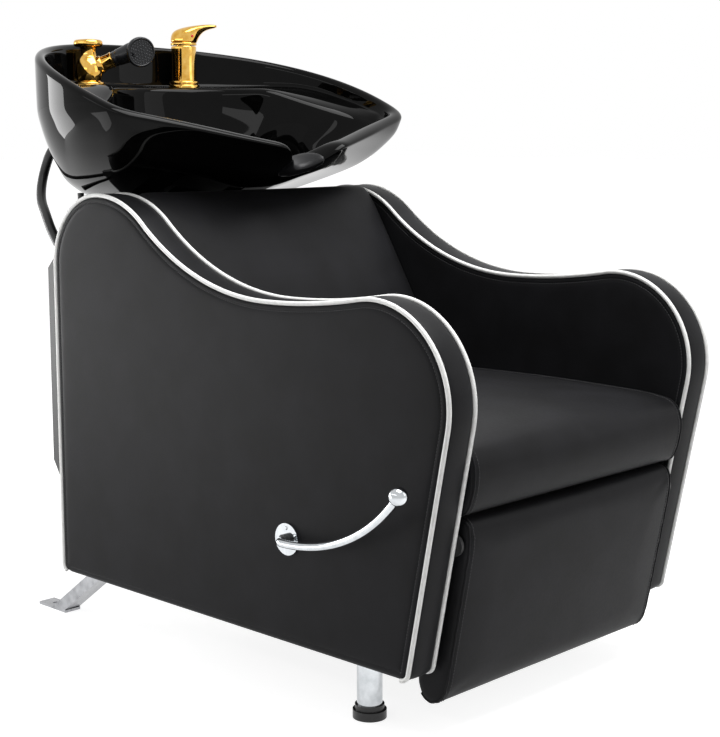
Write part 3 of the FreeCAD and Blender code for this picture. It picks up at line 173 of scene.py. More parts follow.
def metal(name, first, second, rough_low, rough_high, cell_mm, depth):
    """Metal with faint tone and polish changes at the size of its polishing marks."""
    made, tree, shader = material(name, {"Metallic": 1.0})
    place = add(tree, "ShaderNodeTexCoord").outputs["Object"]
    marks = add(tree, "ShaderNodeTexNoise", {"Vector": place, "Scale": per_metre(cell_mm), "Detail": 4.0})
    tree.links.new(two_tone(tree, marks.outputs["Fac"], first, second), shader.inputs["Base Color"])
    tree.links.new(spread(tree, marks.outputs["Fac"], rough_low, rough_high), shader.inputs["Roughness"])
    bump(tree, shader, marks.outputs["Fac"], depth, 0.4)
    return made


def brushed_steel():
    # Satin stainless: brushed along its length, so the marks are long and the gloss is soft.
    made, tree, shader = material("brushed_steel", {"Metallic": 1.0, "Anisotropic": 0.5})
    place = add(tree, "ShaderNodeTexCoord").outputs["Object"]
    line_up = add(tree, "ShaderNodeMapping", {"Vector": place, "Scale": (1.0, 0.04, 0.04)})
    brush = add(tree, "ShaderNodeTexNoise", {
        "Vector": line_up.outputs["Vector"], "Scale": per_metre(0.8), "Detail": 4.0})
    tree.links.new(two_tone(tree, brush.outputs["Fac"], "#8a8b8e", "#b2b3b6"), shader.inputs["Base Color"])
    tree.links.new(spread(tree, brush.outputs["Fac"], 0.22, 0.36), shader.inputs["Roughness"])
    bump(tree, shader, brush.outputs["Fac"], 0.00006, 0.5)
    return made


def black_finish(name, first, second, rough_low, rough_high, cell_mm, depth, gloss=0.5, coat=0.0):
    """Black plastics, paints, rubber and glaze: tone and roughness vary at the size of their texture."""
    made, tree, shader = material(name, {
        "IOR": 1.5, "Specular IOR Level": gloss, "Coat Weight": coat, "Coat Roughness": rough_low})
    place = add(tree, "ShaderNodeTexCoord").outputs["Object"]
    pattern = add(tree, "ShaderNodeTexNoise", {
        "Vector": place, "Scale": per_metre(cell_mm), "Detail": 4.0})
    tree.links.new(two_tone(tree, pattern.outputs["Fac"], first, second), shader.inputs["Base Color"])
    tree.links.new(spread(tree, pattern.outputs["Fac"], rough_low, rough_high), shader.inputs["Roughness"])
    bump(tree, shader, pattern.outputs["Fac"], depth, 0.4)
    return made


def plywood():
    # Birch plywood, stained black before upholstering: dull rings stretched along the sheet.
    made, tree, shader = material("plywood", {"Roughness": 0.6, "IOR": 1.5})
    place = add(tree, "ShaderNodeTexCoord").outputs["Object"]
    run = add(tree, "ShaderNodeMapping", {"Vector": place, "Scale": (1.0, 0.12, 1.0)})
    rings = add(tree, "ShaderNodeTexNoise", {
        "Vector": run.outputs["Vector"], "Scale": per_metre(9), "Detail": 5.0})
    tree.links.new(two_tone(tree, rings.outputs["Fac"], "#1d1916", "#2c261f"), shader.inputs["Base Color"])
    bump(tree, shader, rings.outputs["Fac"], 0.0002, 0.5)
    return made


def colour_mark(name, first, second):
    # Enamel dot: glossy, a little paler where the orange peel stands up.
    made, tree, shader = material(name, {"Roughness": 0.25, "IOR": 1.5})
    place = add(tree, "ShaderNodeTexCoord").outputs["Object"]
    peel = add(tree, "ShaderNodeTexNoise", {"Vector": place, "Scale": per_metre(2), "Detail": 2.0})
    tree.links.new(two_tone(tree, peel.outputs["Fac"], first, second), shader.inputs["Base Color"])
    bump(tree, shader, peel.outputs["Fac"], 0.00005, 0.4)
    return made


LEATHER = leathercloth()
WELT = white_welt()
THREAD = thread()
CHROME = metal("polished_chrome", "#b4b8bb", "#c8cbce", 0.06, 0.12, 14, 0.00002)
GOLD = metal("polished_gold_brass", "#cf9c40", "#e6bb66", 0.05, 0.11, 10, 0.00003)
STEEL = brushed_steel()
GLAZE = black_finish("black_glaze", "#030303", "#050505", 0.02, 0.04, 26, 0.00003, gloss=0.03, coat=0.14)
PAINT = black_finish("black_powder_coat", "#121213", "#1a1a1b", 0.38, 0.52, 1.6, 0.0001)
CASING = black_finish("casing_satin_black", "#101011", "#161617", 0.32, 0.42, 2.2, 0.00008)
PLASTIC = black_finish("foot_nylon", "#0c0c0d", "#141415", 0.30, 0.42, 2.0, 0.00008)
SPRAY = black_finish("spray_abs", "#131416", "#1d1e21", 0.24, 0.34, 3.0, 0.00006, gloss=0.3)
RUBBER = black_finish("hose_rubber", "#0b0b0c", "#151516", 0.34, 0.5, 2.5, 0.0001)
GEL = black_finish("neck_gel", "#101011", "#1a1a1c", 0.34, 0.46, 3.5, 0.0001, gloss=0.2)
NOZZLE = black_finish("nozzle_rubber", "#3a3b3d", "#4a4b4d", 0.4, 0.5, 2.0, 0.00005)
PLY = plywood()
RED = colour_mark("hot_mark", "#c41e26", "#de2a32")

SLOT_FINISH = {
    "upholstery": LEATHER, "welt": WELT, "plywood": PLY, "black_steel": PAINT, "bright_steel": STEEL,
    "chrome": CHROME, "foot_plastic": PLASTIC, "casing_black": CASING, "ceramic": GLAZE, "gold": GOLD,
    "spray_black": SPRAY, "rubber": RUBBER, "drain_plastic": PLASTIC,
}


def dress_frame():
    """Gives every CAD node the finish of its slot."""
    for row in frame["record"]["subparts"]:
        node = frame["nodes"][row["node"]]
        node.data.materials.clear()
        node.data.materials.append(SLOT_FINISH[row["material_slot"]])


# Mesh helpers

WELD_M = 0.00001


def finish_piece(mesh, finish, body, replaced=(), smooth=40):
    """Puts a mesh in the scene as a piece of the object, riding on a body."""
    piece = bpy.data.objects.new(mesh.name, mesh)
    bpy.context.collection.objects.link(piece)
    mesh.materials.append(finish)
    bpy.ops.object.select_all(action="DESELECT")
    piece.select_set(True)
    bpy.context.view_layer.objects.active = piece
    bpy.ops.object.mode_set(mode="EDIT")
    bpy.ops.mesh.select_all(action="SELECT")
    bpy.ops.mesh.remove_doubles(threshold=WELD_M)
    bpy.ops.mesh.normals_make_consistent(inside=False)
    bpy.ops.object.mode_set(mode="OBJECT")
    bpy.ops.object.shade_smooth_by_angle(angle=math.radians(smooth))
    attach(piece, body)
    if replaced:
        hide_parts(*replaced)
    return piece


def ring_mesh(name, rings, close_section=False, caps=False):
    """Mesh through closed rings of points in mm. close_section joins the last ring to the first."""
    mesh = bpy.data.meshes.new(name)
    rows, count = len(rings), len(rings[0])
    points = [tuple(Vector(p) * MM) for ring in rings for p in ring]
    faces = []
    for row in range(rows if close_section else rows - 1):
        this, following = row * count, (row + 1) % rows * count
        for at in range(count):
            onward = (at + 1) % count
            faces.append((this + at, this + onward, following + onward, following + at))
    if caps:
        faces.append(tuple(range(count)))
        faces.append(tuple(reversed(range((rows - 1) * count, rows * count))))
    mesh.from_pydata(points, [], faces)
    return mesh


def round_points(centre, side, other, radius, count):
    """Points on a circle spanned by two directions."""
    turns = [2 * math.pi * step / count for step in range(count)]
    return [centre + radius * (math.cos(turn) * side + math.sin(turn) * other) for turn in turns]


def tube_mesh(name, path, radius, sides=12):
    """Round tube along a dense path of points, closed at both ends."""
    rings = []
    normal = None
    for at, point in enumerate(path):
        ahead = Vector(path[min(at + 1, len(path) - 1)]) - Vector(path[max(at - 1, 0)])
        ahead.normalize()
        if normal is None:
            normal = ahead.orthogonal()
        normal = (normal - ahead * normal.dot(ahead)).normalized()
        rings.append(round_points(Vector(point), normal, ahead.cross(normal), radius, sides))
    return ring_mesh(name, rings, caps=True)


# Arms: the side view of tangent arcs, the same sizes as the CAD part, in mm

ARM_SEAM_X, ARM_WIDTH = 330, 55
ARM_REAR_Y, ARM_BOTTOM_Z, ARM_PEAK_Z = -130, 108, 789
HUMP_REAR_R, HUMP_FRONT_R = 128, 185
DIP_Y, DIP_Z = -670, 640
SCROLL_Y, SCROLL_R, SCROLL_RISE = -895, 148, 20
FRONT_LEAN, CORNER_R, LEAST_CORNER_R = 11, 16, 2


def polar(centre, radius, degrees):
    angle = math.radians(degrees)
    return (centre[0] + radius * math.cos(angle), centre[1] + radius * math.sin(angle))


def arm_outline(inset):
    """Closed outline of an arm drawn in by inset: up the rear, over the top, down the front, back below."""
    lean = math.radians(FRONT_LEAN)
    peak_y = ARM_REAR_Y - HUMP_REAR_R
    run = peak_y - DIP_Y
    turn = 2 * math.degrees(math.atan2(ARM_PEAK_Z - DIP_Z, run))
    sweep_r = run / math.sin(math.radians(turn)) - HUMP_FRONT_R
    drop = SCROLL_R - SCROLL_RISE
    reach = DIP_Y - SCROLL_Y
    dip_r = (reach ** 2 + drop ** 2 - SCROLL_R ** 2) / (2 * (SCROLL_R - drop))
    rise = math.degrees(math.asin(reach / (dip_r + SCROLL_R)))
    scroll = (SCROLL_Y, DIP_Z - drop)
    base = ARM_BOTTOM_Z + inset
    corner = max(CORNER_R - inset, LEAST_CORNER_R)
    heel = (ARM_REAR_Y - inset - corner, base + corner)
    low = polar(scroll, SCROLL_R - inset, 180 + FRONT_LEAN)
    down = (low[1] + corner * math.sin(lean) - base - corner) / math.cos(lean)
    toe = (low[0] + down * math.sin(lean) + corner * math.cos(lean), base + corner)
    hump_low = (ARM_REAR_Y - inset, ARM_PEAK_Z - HUMP_REAR_R)
    # Runs are (points, straight ends) or (points, centre, radius, from, to)
    runs = (
        (44, (heel[0] + corner, heel[1]), hump_low),
        (22, (peak_y, ARM_PEAK_Z - HUMP_REAR_R), HUMP_REAR_R - inset, 0, 90),
        (16, (peak_y, ARM_PEAK_Z - HUMP_FRONT_R), HUMP_FRONT_R - inset, 90, 90 + turn),
        (26, (DIP_Y, DIP_Z + sweep_r), sweep_r + inset, turn - 90, -90),
        (18, (DIP_Y, DIP_Z + dip_r), dip_r + inset, -90, -90 - rise),
        (34, scroll, SCROLL_R - inset, 90 - rise, 180 + FRONT_LEAN),
        (36, low, polar(toe, corner, 180 + FRONT_LEAN)),
        (6, toe, corner, 180 + FRONT_LEAN, 270),
        (60, (toe[0], base), (heel[0], base)),
        (6, heel, corner, -90, 0),
    )
    points = []
    for run in runs:
        for step in range(run[0]):
            share = step / run[0]
            if len(run) == 3:
                points.append(tuple(a + (b - a) * share for a, b in zip(run[1], run[2])))
            else:
                points.append(polar(run[1], run[2], run[3] + (run[4] - run[3]) * share))
    return points


# The outline's points between which a seam is open to view, counted from the rear corner
OPEN_FROM, OPEN_TO = -4, 203


def seam_path(inset, x):
    """Seam line along the rear, top and front of an arm, turned under it at both ends."""
    outline = arm_outline(inset)
    return [(x, *outline[at % len(outline)]) for at in range(OPEN_FROM, OPEN_TO)]


def arm_rings(rows, seam_x, outward):
    """Rings of an arm pad from rows of (inset, height over the seam plane)."""
    rings = []
    for inset, height in rows:
        rings.append([(seam_x + outward * height, y, z) for y, z in arm_outline(inset)])
    return rings


def spaced(path, pitch):
    """Points at even distances along a path, with their directions."""
    out = []
    left = 0.0
    for first, last in zip(path, path[1:]):
        first, last = Vector(first), Vector(last)
        long = (last - first).length
        if long == 0:
            continue
        ahead = (last - first) / long
        while left < long:
            out.append((first + ahead * left, ahead))
            left += pitch
        left -= long
    return out


STITCH_PITCH, STITCH_LONG, STITCH_R, STITCH_SIDES = 5.0, 3.6, 0.75, 6
STITCH_RINGS = ((-0.5, 0.35), (-0.36, 1), (0.36, 1), (0.5, 0.35))  # share of the length, share of the radius


def tapered(points, faces, rings):
    """Adds a small closed form through rings of points in mm to a mesh's points and faces."""
    base, count, rows = len(points), len(rings[0]), len(rings)
    points.extend(tuple(p * MM) for ring in rings for p in ring)
    for row in range(rows - 1):
        for step in range(count):
            a, b = row * count + step, row * count + (step + 1) % count
            faces.append(tuple(base + i for i in (a, b, b + count, a + count)))
    faces.append(tuple(base + i for i in reversed(range(count))))
    faces.append(tuple(base + (rows - 1) * count + i for i in range(count)))


def stitch_mesh(name, paths):
    """Sewing stitches along paths that lie on the leathercloth."""
    points, faces = [], []
    for path in paths:
        for spot, ahead in spaced(path, STITCH_PITCH):
            side = ahead.orthogonal().normalized()
            other = ahead.cross(side)
            tapered(points, faces, [
                round_points(spot + ahead * end * STITCH_LONG, side, other, STITCH_R * shrink, STITCH_SIDES)
                for end, shrink in STITCH_RINGS])
    mesh = bpy.data.meshes.new(name)
    mesh.from_pydata(points, [], faces)
    return mesh


PAD_ROWS = (
    # inset from the arm's edge, height over the seam plane: back, tuck by the welt, roll, stitch dimple, flat
    (9, -8), (6.4, -6), (4.6, -2.6), (4.8, -0.2), (6.2, 1.2), (8.6, 2.0), (11.4, 2.3), (12.8, 1.9), (13.6, 1.5),
    (14.4, 1.9), (16, 2.4), (21, 2.8), (30, 3.0), (46, 3.0),
)
STITCH_INSET, STITCH_HIGH = 13.6, 1.9
BAND_GAP = 3.9
BAND_HALF = ARM_WIDTH / 2 - BAND_GAP
BAND_ROWS = (
    # share of the half width, inset from the arm's edge
    (-1.0, 5.5), (-1.0, 2.6), (-0.95, 1.1), (-0.85, 0.4), (-0.6, -0.3), (-0.3, -0.7), (0, -0.8), (0.3, -0.7),
    (0.6, -0.3), (0.85, 0.4), (0.95, 1.1), (1.0, 2.6), (1.0, 5.5), (0.6, 7.5), (-0.6, 7.5),
)
WELT_R, WELT_INSET = 3.6, 1.4


def build_arms():
    for side, sign in SIDES:
        seams = {"outer": (sign * ARM_SEAM_X, sign), "inner": (sign * (ARM_SEAM_X - ARM_WIDTH), -sign)}
        for face, (seam_x, outward) in seams.items():
            pad = ring_mesh("arm_%s_pad_%s_sewn" % (face, side), arm_rings(PAD_ROWS, seam_x, outward),
                            caps=True)
            finish_piece(pad, LEATHER, "root", ["arm_%s_pad_%s" % (face, side)])
            welt = tube_mesh("arm_welt_%s_%s_cord" % (face, side), seam_path(WELT_INSET, seam_x), WELT_R)
            finish_piece(welt, WELT, "root", ["arm_welt_%s_%s" % (face, side)])
            row = stitch_mesh("arm_stitches_%s_%s" % (face, side),
                              [seam_path(STITCH_INSET, seam_x + outward * STITCH_HIGH)])
            finish_piece(row, THREAD, "root")
        middle = sign * (ARM_SEAM_X - ARM_WIDTH / 2)
        rows = []
        for share, inset in BAND_ROWS:
            rows.append([(middle + share * BAND_HALF, y, z) for y, z in arm_outline(inset)])
        band = ring_mesh("arm_edge_band_%s_sewn" % side, rows, close_section=True)
        finish_piece(band, LEATHER, "root", ["arm_edge_band_" + side])


# Cushions: a closed form from section rings, swollen by a short cloth simulation

LINE_POINTS, TIGHT_PULL, MOST_PULL = 10, 0.15, 1.2


def curve_points(marks):
    """Smooth closed line through (y, z, tight) marks; tight marks turn in a small radius."""
    count = len(marks)
    points = []
    for at in range(count):
        p0, p1, p2, p3 = (Vector(marks[(at + k) % count][:2]) for k in (-1, 0, 1, 2))
        pull_1 = 0.5 * (p2 - p0) * (TIGHT_PULL if marks[at][2] else 1)
        pull_2 = 0.5 * (p3 - p1) * (TIGHT_PULL if marks[(at + 1) % count][2] else 1)
        limit = (p2 - p1).length * MOST_PULL
        for pull in (pull_1, pull_2):
            if pull.length > limit:
                pull *= limit / pull.length
        for step in range(LINE_POINTS):
            t = step / LINE_POINTS
            a, b = 2 * t ** 3 - 3 * t ** 2 + 1, t ** 3 - 2 * t ** 2 + t
            c, d = -2 * t ** 3 + 3 * t ** 2, t ** 3 - t ** 2
            points.append(tuple(a * p1 + b * pull_1 + c * p2 + d * pull_2))
    return points


def drawn_in(points, amount):
    """A closed side-view line moved inwards by amount."""
    count = len(points)
    area = sum(p[0] * q[1] - q[0] * p[1] for p, q in zip(points, points[1:] + points[:1]))
    way = 1 if area > 0 else -1
    out = []
    for at in range(count):
        ahead = Vector(points[(at + 1) % count]) - Vector(points[at - 1])
        normal = Vector((-ahead.y, ahead.x)).normalized() * way
        out.append(tuple(Vector(points[at]) + normal * amount))
    return out


END_ROWS = ((0.0, 6.0), (0.4, 3.4), (1.6, 1.4), (4.0, 0.2), (9.0, 0.0))  # from the end, inset of the line
SPANS = 24


def cushion_rings(half, marks_at):
    """Section rings from end to end; marks_at gives the side-view marks at a share of the half width."""
    rings = []
    ends = [(-half + out, inset) for out, inset in END_ROWS]
    plain = half - END_ROWS[-1][0]
    middle = [(-plain + 2 * plain * step / SPANS, 0.0) for step in range(1, SPANS)]
    for x, inset in ends + middle + [(-x, inset) for x, inset in reversed(ends)]:
        line = curve_points(marks_at(x / half))
        rings.append([(x, y, z) for y, z in (drawn_in(line, inset) if inset else line)])
    return rings


def lean_about(rings, place, degrees):
    """Rings given in a cushion's own frame, turned about X and put in place."""
    angle = math.radians(degrees)
    cos, sin = math.cos(angle), math.sin(angle)
    return [[(place[0] + x, place[1] + y * cos - z * sin, place[2] + y * sin + z * cos) for x, y, z in ring]
            for ring in rings]


CLOTH_CELL_MM, CLOTH_FRAMES, CLOTH_PRESSURE = 6.0, 20, 4.0
CLOTH_QUALITY, CLOTH_STRETCH, CLOTH_BEND, EVEN_PASSES = 5, 20, 2, 6


def puff(piece, held, cap_mm):
    """Swells a closed cushion: remeshed skin, inside pressure, no gravity. held tells which points are pinned,
    and no point moves by more than cap_mm."""
    bpy.ops.object.select_all(action="DESELECT")
    piece.select_set(True)
    bpy.context.view_layer.objects.active = piece
    piece.data.remesh_voxel_size = CLOTH_CELL_MM * MM
    bpy.ops.object.voxel_remesh()
    rest = [v.co.copy() for v in piece.data.vertices]
    pins = piece.vertex_groups.new(name="held")
    for vertex in piece.data.vertices:
        if held(vertex.co / MM):
            pins.add([vertex.index], 1.0, "REPLACE")
    cloth = piece.modifiers.new("pressure", "CLOTH")
    settings = cloth.settings
    settings.quality = CLOTH_QUALITY
    settings.use_pressure = True
    settings.uniform_pressure_force = CLOTH_PRESSURE
    settings.vertex_group_mass = "held"
    settings.tension_stiffness = settings.compression_stiffness = CLOTH_STRETCH
    settings.bending_stiffness = CLOTH_BEND
    settings.effector_weights.gravity = 0
    cloth.point_cache.frame_end = CLOTH_FRAMES
    for number in range(1, CLOTH_FRAMES + 1):
        bpy.context.scene.frame_set(number)
    depsgraph = bpy.context.evaluated_depsgraph_get()
    swollen = [v.co.copy() for v in piece.evaluated_get(depsgraph).data.vertices]
    piece.modifiers.remove(cloth)
    bpy.context.scene.frame_set(1)
    for vertex, first, last in zip(piece.data.vertices, rest, swollen):
        move = last - first
        if move.length > cap_mm * MM:
            move *= cap_mm * MM / move.length
        vertex.co = first + move
    even = piece.modifiers.new("even", "SMOOTH")
    even.iterations = EVEN_PASSES
    bpy.ops.object.modifier_apply(modifier="even")
    bpy.ops.object.shade_smooth()


def settle(path, piece, lift):
    """Moves the points of a path onto a piece's skin, raised by lift mm."""
    skin = BVHTree.FromObject(piece, bpy.context.evaluated_depsgraph_get())
    out = []
    for point in path:
        spot, normal, _, _ = skin.find_nearest(Vector(point) * MM)
        out.append(spot / MM + normal * lift)
    return out


SEAT_HALF, BACK_HALF, REST_HALF = 269, 269, 262
BACK_PLACE, BACK_LEAN = (0, -508, 474), -31
REST_PLACE, REST_LEAN = (0, -1000, 308), 11
SEAT_CROWN, BACK_CROWN, REST_CROWN, END_SLACK = 12, 16, 5, 0.85

# Side views as (y, z, tight) marks: the seat in the frame's axes, the others in their own leaning ones


def seat_marks(share):
    crown = SEAT_CROWN * (1 - END_SLACK * share ** 2)
    return (
        (-500, 352, True), (-1004, 351, True), (-1023, 359, False), (-1034, 388, False), (-1037, 420, False),
        (-1029, 444, False), (-1010, 456 + 0.3 * crown, False), (-955, 461 + 0.7 * crown, False),
        (-760, 464 + crown, False), (-540, 460 + 0.6 * crown, False), (-500, 448, True),
    )


def back_marks(share):
    crown = BACK_CROWN * (1 - END_SLACK * share ** 2)
    return (
        (84, 0, True), (12, 0, False), (2 - 0.2 * crown, 14, False), (-0.5 * crown, 60, False),
        (-crown, 190, False), (-0.6 * crown, 324, False), (6, 369, False), (30, 384, False), (60, 368, False),
        (84, 318, True),
    )


def rest_marks(share):
    crown = REST_CROWN * (1 - END_SLACK * share ** 2)
    return (
        (34, -224, False), (34, 8, False), (20, 32, False), (0, 39, False), (-16, 29, False), (-23, 6, False),
        (-24 - crown, -110, False), (-24 - 0.4 * crown, -222, False), (-16, -248, False), (4, -259, False),
        (24, -250, False),
    )


SEAM_OUT, SEAM_LIFT, SEAM_R, SEAM_SIDES = 2.0, 0.5, 1.7, 8
ROW_OUT, ROW_LIFT = 11.0, 0.3


def end_seams(name, piece, half, marks_at, place, lean, body, keep_from, keep_to):
    """Sewn end seams of a cushion with the row of stitches beside each."""
    lines = []
    for out, lift in ((SEAM_OUT, SEAM_LIFT), (ROW_OUT, ROW_LIFT)):
        pair = []
        for _, sign in SIDES:
            line = curve_points(marks_at(sign))[keep_from:keep_to]
            ring = lean_about([[(sign * (half - out), y, z) for y, z in line]], place, lean)[0]
            pair.append(settle(ring, piece, lift))
        lines.append(pair)
    for (side, _), path in zip(SIDES, lines[0]):
        seam = tube_mesh("%s_seam_%s" % (name, side), path, SEAM_R, SEAM_SIDES)
        finish_piece(seam, LEATHER, body)
    row = stitch_mesh("%s_stitches" % name, lines[1])
    finish_piece(row, THREAD, body)


FLOOR_FRAME = ((0, 0, 0), 0)
END_HELD, SEAT_HELD_Z, SEAT_HELD_Y = 4, 366, -512
SEAT_SWELL, BACK_SWELL, REST_SWELL, CUSHION_FILL = 5, 5, 3, 0.9


def sewn_cushion(node, half, marks_at, place, lean, body):
    rings = lean_about(cushion_rings(half, marks_at), place, lean)
    return finish_piece(ring_mesh(node + "_sewn", rings, caps=True), LEATHER, body, [node])


def build_cushions():
    seat = sewn_cushion("seat_cushion", SEAT_HALF, seat_marks, *FLOOR_FRAME, "root")
    puff(seat, lambda p: p.z < SEAT_HELD_Z or p.y > SEAT_HELD_Y or abs(p.x) > SEAT_HALF - END_HELD, SEAT_SWELL)
    end_seams("seat", seat, SEAT_HALF, seat_marks, *FLOOR_FRAME, "root", 10, 90)
    back = sewn_cushion("back_cushion", BACK_HALF, back_marks, BACK_PLACE, BACK_LEAN, "root")
    puff(back, lambda p: abs(p.x) > BACK_HALF - END_HELD, BACK_SWELL)
    rest = sewn_cushion("legrest_cushion", REST_HALF, rest_marks, REST_PLACE, REST_LEAN, "legrest")
    puff(rest, lambda p: abs(p.x) > REST_HALF - END_HELD, REST_SWELL)
    end_seams("legrest", rest, REST_HALF, rest_marks, REST_PLACE, REST_LEAN, "legrest", 20, 100)


# Bowl: a glazed shell through the CAD part's level outlines, with a rolled rim, a tap deck and a round basin

BOWL_BASE_Z, BOWL_FLOOR, BOWL_WALL = 770, 24, 20
BOWL_HALF, BOWL_FRONT_Y, BOWL_REAR_Y, BOWL_CORNER_Y = 352, -494, 112, -330
SHOULDER = (250, 10)
BOWL_LEVELS = (
    # height above the base, share of the half width, and the front and rear edges back from the rim's
    (0, 0.54, 272, -42), (36, 0.745, 156, -10), (62, 0.84, 82, -6), (92, 0.92, 38, -4), (128, 0.984, 5, -1),
    (165, 1.014, -3, 2), (310, 1.02, -3, 3),
)
RIM_MARKS = ((190, 1074), (-130, 1006), (-540, 836))
NOTCH_HALF, NOTCH_TOP_Z, NOTCH_REAR_Y, NOTCH_SPAN, NOTCH_EASE = 64, 902, -380, 1.4, 16
CREST_GUESS, CREST_PASSES, OUTLINE_PASSES, RIM_PASSES = 950, 12, 6, 2
LEVEL_STEP, LEVEL_TOP = 4, 314
DECK_Z, DECK_UNDER_RIM, DECK_FILLET = 980, 18, 9
BASIN_R, BASIN_Y, BASIN_TAPER, TAPER_DEPTHS, DRAIN_Y = 188, -165, 14, (20, 150), -145
LEDGE_DROP, LEDGE_RUN, LEDGE_FADES = 62, (60, 330), (-330, -70)
LIP_R, LIP_TURN = 10, 20
OUTER_ROWS, OUTER_EASE, INNER_ROWS, BASIN_ROWS, BASIN_START = 26, 0.9, 8, 17, 10
FLOOR_SHARES = (0.93, 0.8, 0.5, 0.2)


def circle_through(first, middle, last):
    """Centre and radius of the circle through three points of a plane."""
    (ax, ay), (bx, by), (cx, cy) = first, middle, last
    d = 2 * (ax * (by - cy) + bx * (cy - ay) + cx * (ay - by))
    a2, b2, c2 = ax * ax + ay * ay, bx * bx + by * by, cx * cx + cy * cy
    ux = (a2 * (by - cy) + b2 * (cy - ay) + c2 * (ay - by)) / d
    uy = (a2 * (cx - bx) + b2 * (ax - cx) + c2 * (bx - ax)) / d
    return (ux, uy), math.dist((ux, uy), first)


def arc_points(first, middle, last, count):
    """Points along the arc through three points, without the last."""
    centre, radius = circle_through(first, middle, last)
    turns = [math.atan2(p[1] - centre[1], p[0] - centre[0]) for p in (first, middle, last)]
    full = 2 * math.pi
    span = (turns[2] - turns[0]) % full
    if (turns[1] - turns[0]) % full > span:
        span -= full
    out = []
    for step in range(count):
        angle = turns[0] + span * step / count
        out.append((centre[0] + radius * math.cos(angle), centre[1] + radius * math.sin(angle)))
    return out


def eased(rows, at):
    """Smooth values between rows keyed by their first number, without overshoot."""
    at = min(max(at, rows[0][0]), rows[-1][0])
    slopes = [[(b[k] - a[k]) / (b[0] - a[0]) for k in range(1, len(a))] for a, b in zip(rows, rows[1:])]
    tangents = [slopes[0]]
    for before, after in zip(slopes, slopes[1:]):
        tangents.append([0 if p * q <= 0 else 2 * p * q / (p + q) for p, q in zip(before, after)])
    tangents.append(slopes[-1])
    for number, (low, high) in enumerate(zip(rows, rows[1:])):
        if at <= high[0]:
            width = high[0] - low[0]
            t = (at - low[0]) / width
            values = []
            for k in range(1, len(low)):
                first, last = tangents[number][k - 1] * width, tangents[number + 1][k - 1] * width
                values.append((2 * t ** 3 - 3 * t ** 2 + 1) * low[k] + (t ** 3 - 2 * t ** 2 + t) * first
                              + (3 * t ** 2 - 2 * t ** 3) * high[k] + (t ** 3 - t ** 2) * last)
            return values


def softened(ring, passes):
    """A closed ring of points with its corners eased."""
    for _ in range(passes):
        ring = [tuple((a + 2 * b + c) / 4 for a, b, c in zip(ring[i - 1], ring[i], ring[(i + 1) % len(ring)]))
                for i in range(len(ring))]
    return ring


def bowl_outline(height, inset):
    """Level outline of the bowl at a height above its base, from the front middle round by the left side.
    Its arcs have the same shares of the half width and length as in the CAD part."""
    share, ahead, behind = eased(BOWL_LEVELS, height)
    half = BOWL_HALF * share - inset
    front, rear = BOWL_FRONT_Y + ahead + inset, BOWL_REAR_Y + behind - inset
    long, full = rear - front, BOWL_REAR_Y - BOWL_FRONT_Y
    corner_y = front + long * (BOWL_CORNER_Y - BOWL_FRONT_Y) / full
    tip = (half * 0.2, front + 4)
    shoulder = (half * SHOULDER[0] / BOWL_HALF, rear - long * (BOWL_REAR_Y - SHOULDER[1]) / full)
    near, far = (half * 0.93, corner_y - long * 0.035), (half, corner_y + long * 0.05)
    right = arc_points((0, front), (tip[0] / 2, front + 1), tip, 7)
    right += arc_points(tip, (half * 0.6, tip[1] * 0.36 + near[1] * 0.64 - long * 0.012), near, 22)
    right += arc_points(near, (half * 0.985, corner_y), far, 8)
    right += arc_points(far, (half * 0.962, corner_y * 0.42 + shoulder[1] * 0.58), shoulder, 30)
    right += arc_points(shoulder, (0, rear), (-shoulder[0], shoulder[1]), 48)[:24]
    ring = right + [(0, rear)] + [(-x, y) for x, y in reversed(right[1:])]
    return softened(ring, OUTLINE_PASSES)


def rim_height(x, y):
    """Height of the rim's crest over a place: a long arc, with the neck notch let into the front."""
    centre, radius = circle_through(*RIM_MARKS)
    way = 1 if centre[1] < RIM_MARKS[0][1] else -1
    crest = centre[1] + way * math.sqrt(max(radius ** 2 - (y - centre[0]) ** 2, 0))
    if y > NOTCH_REAR_Y or abs(x) > NOTCH_SPAN * NOTCH_HALF:
        return crest
    reach = min(abs(x), NOTCH_HALF)
    dip = NOTCH_TOP_Z - math.sqrt(NOTCH_HALF ** 2 - reach ** 2) + max(abs(x) - NOTCH_HALF, 0)
    gap = max(NOTCH_EASE - abs(crest - dip), 0) / NOTCH_EASE
    return min(crest, dip) - gap ** 2 * NOTCH_EASE / 4


def smooth_step(value, low, high):
    t = min(max((value - low) / (high - low), 0), 1)
    return t * t * (3 - 2 * t)


def level_table(inset, lift):
    """Closely stepped level outlines, as a function of the number round the ring and the height."""
    tables = [bowl_outline(height, inset) for height in range(0, LEVEL_TOP, LEVEL_STEP)]

    def place(number, z):
        share = min(max((z - BOWL_BASE_Z - lift) / LEVEL_STEP, 0), len(tables) - 1.001)
        low = int(share)
        a, b = tables[low][number], tables[low + 1][number]
        return tuple(p + (q - p) * (share - low) for p, q in zip(a, b))

    return place, len(tables[0])


def rim_crests(outer, count):
    """Height of the rim at each number round the bowl, found by going up its leaning wall."""
    crests = []
    for number in range(count):
        crest = CREST_GUESS
        for _ in range(CREST_PASSES):
            crest = rim_height(*outer(number, crest))
        crests.append((crest,))
    return [c[0] for c in softened(crests, RIM_PASSES)]


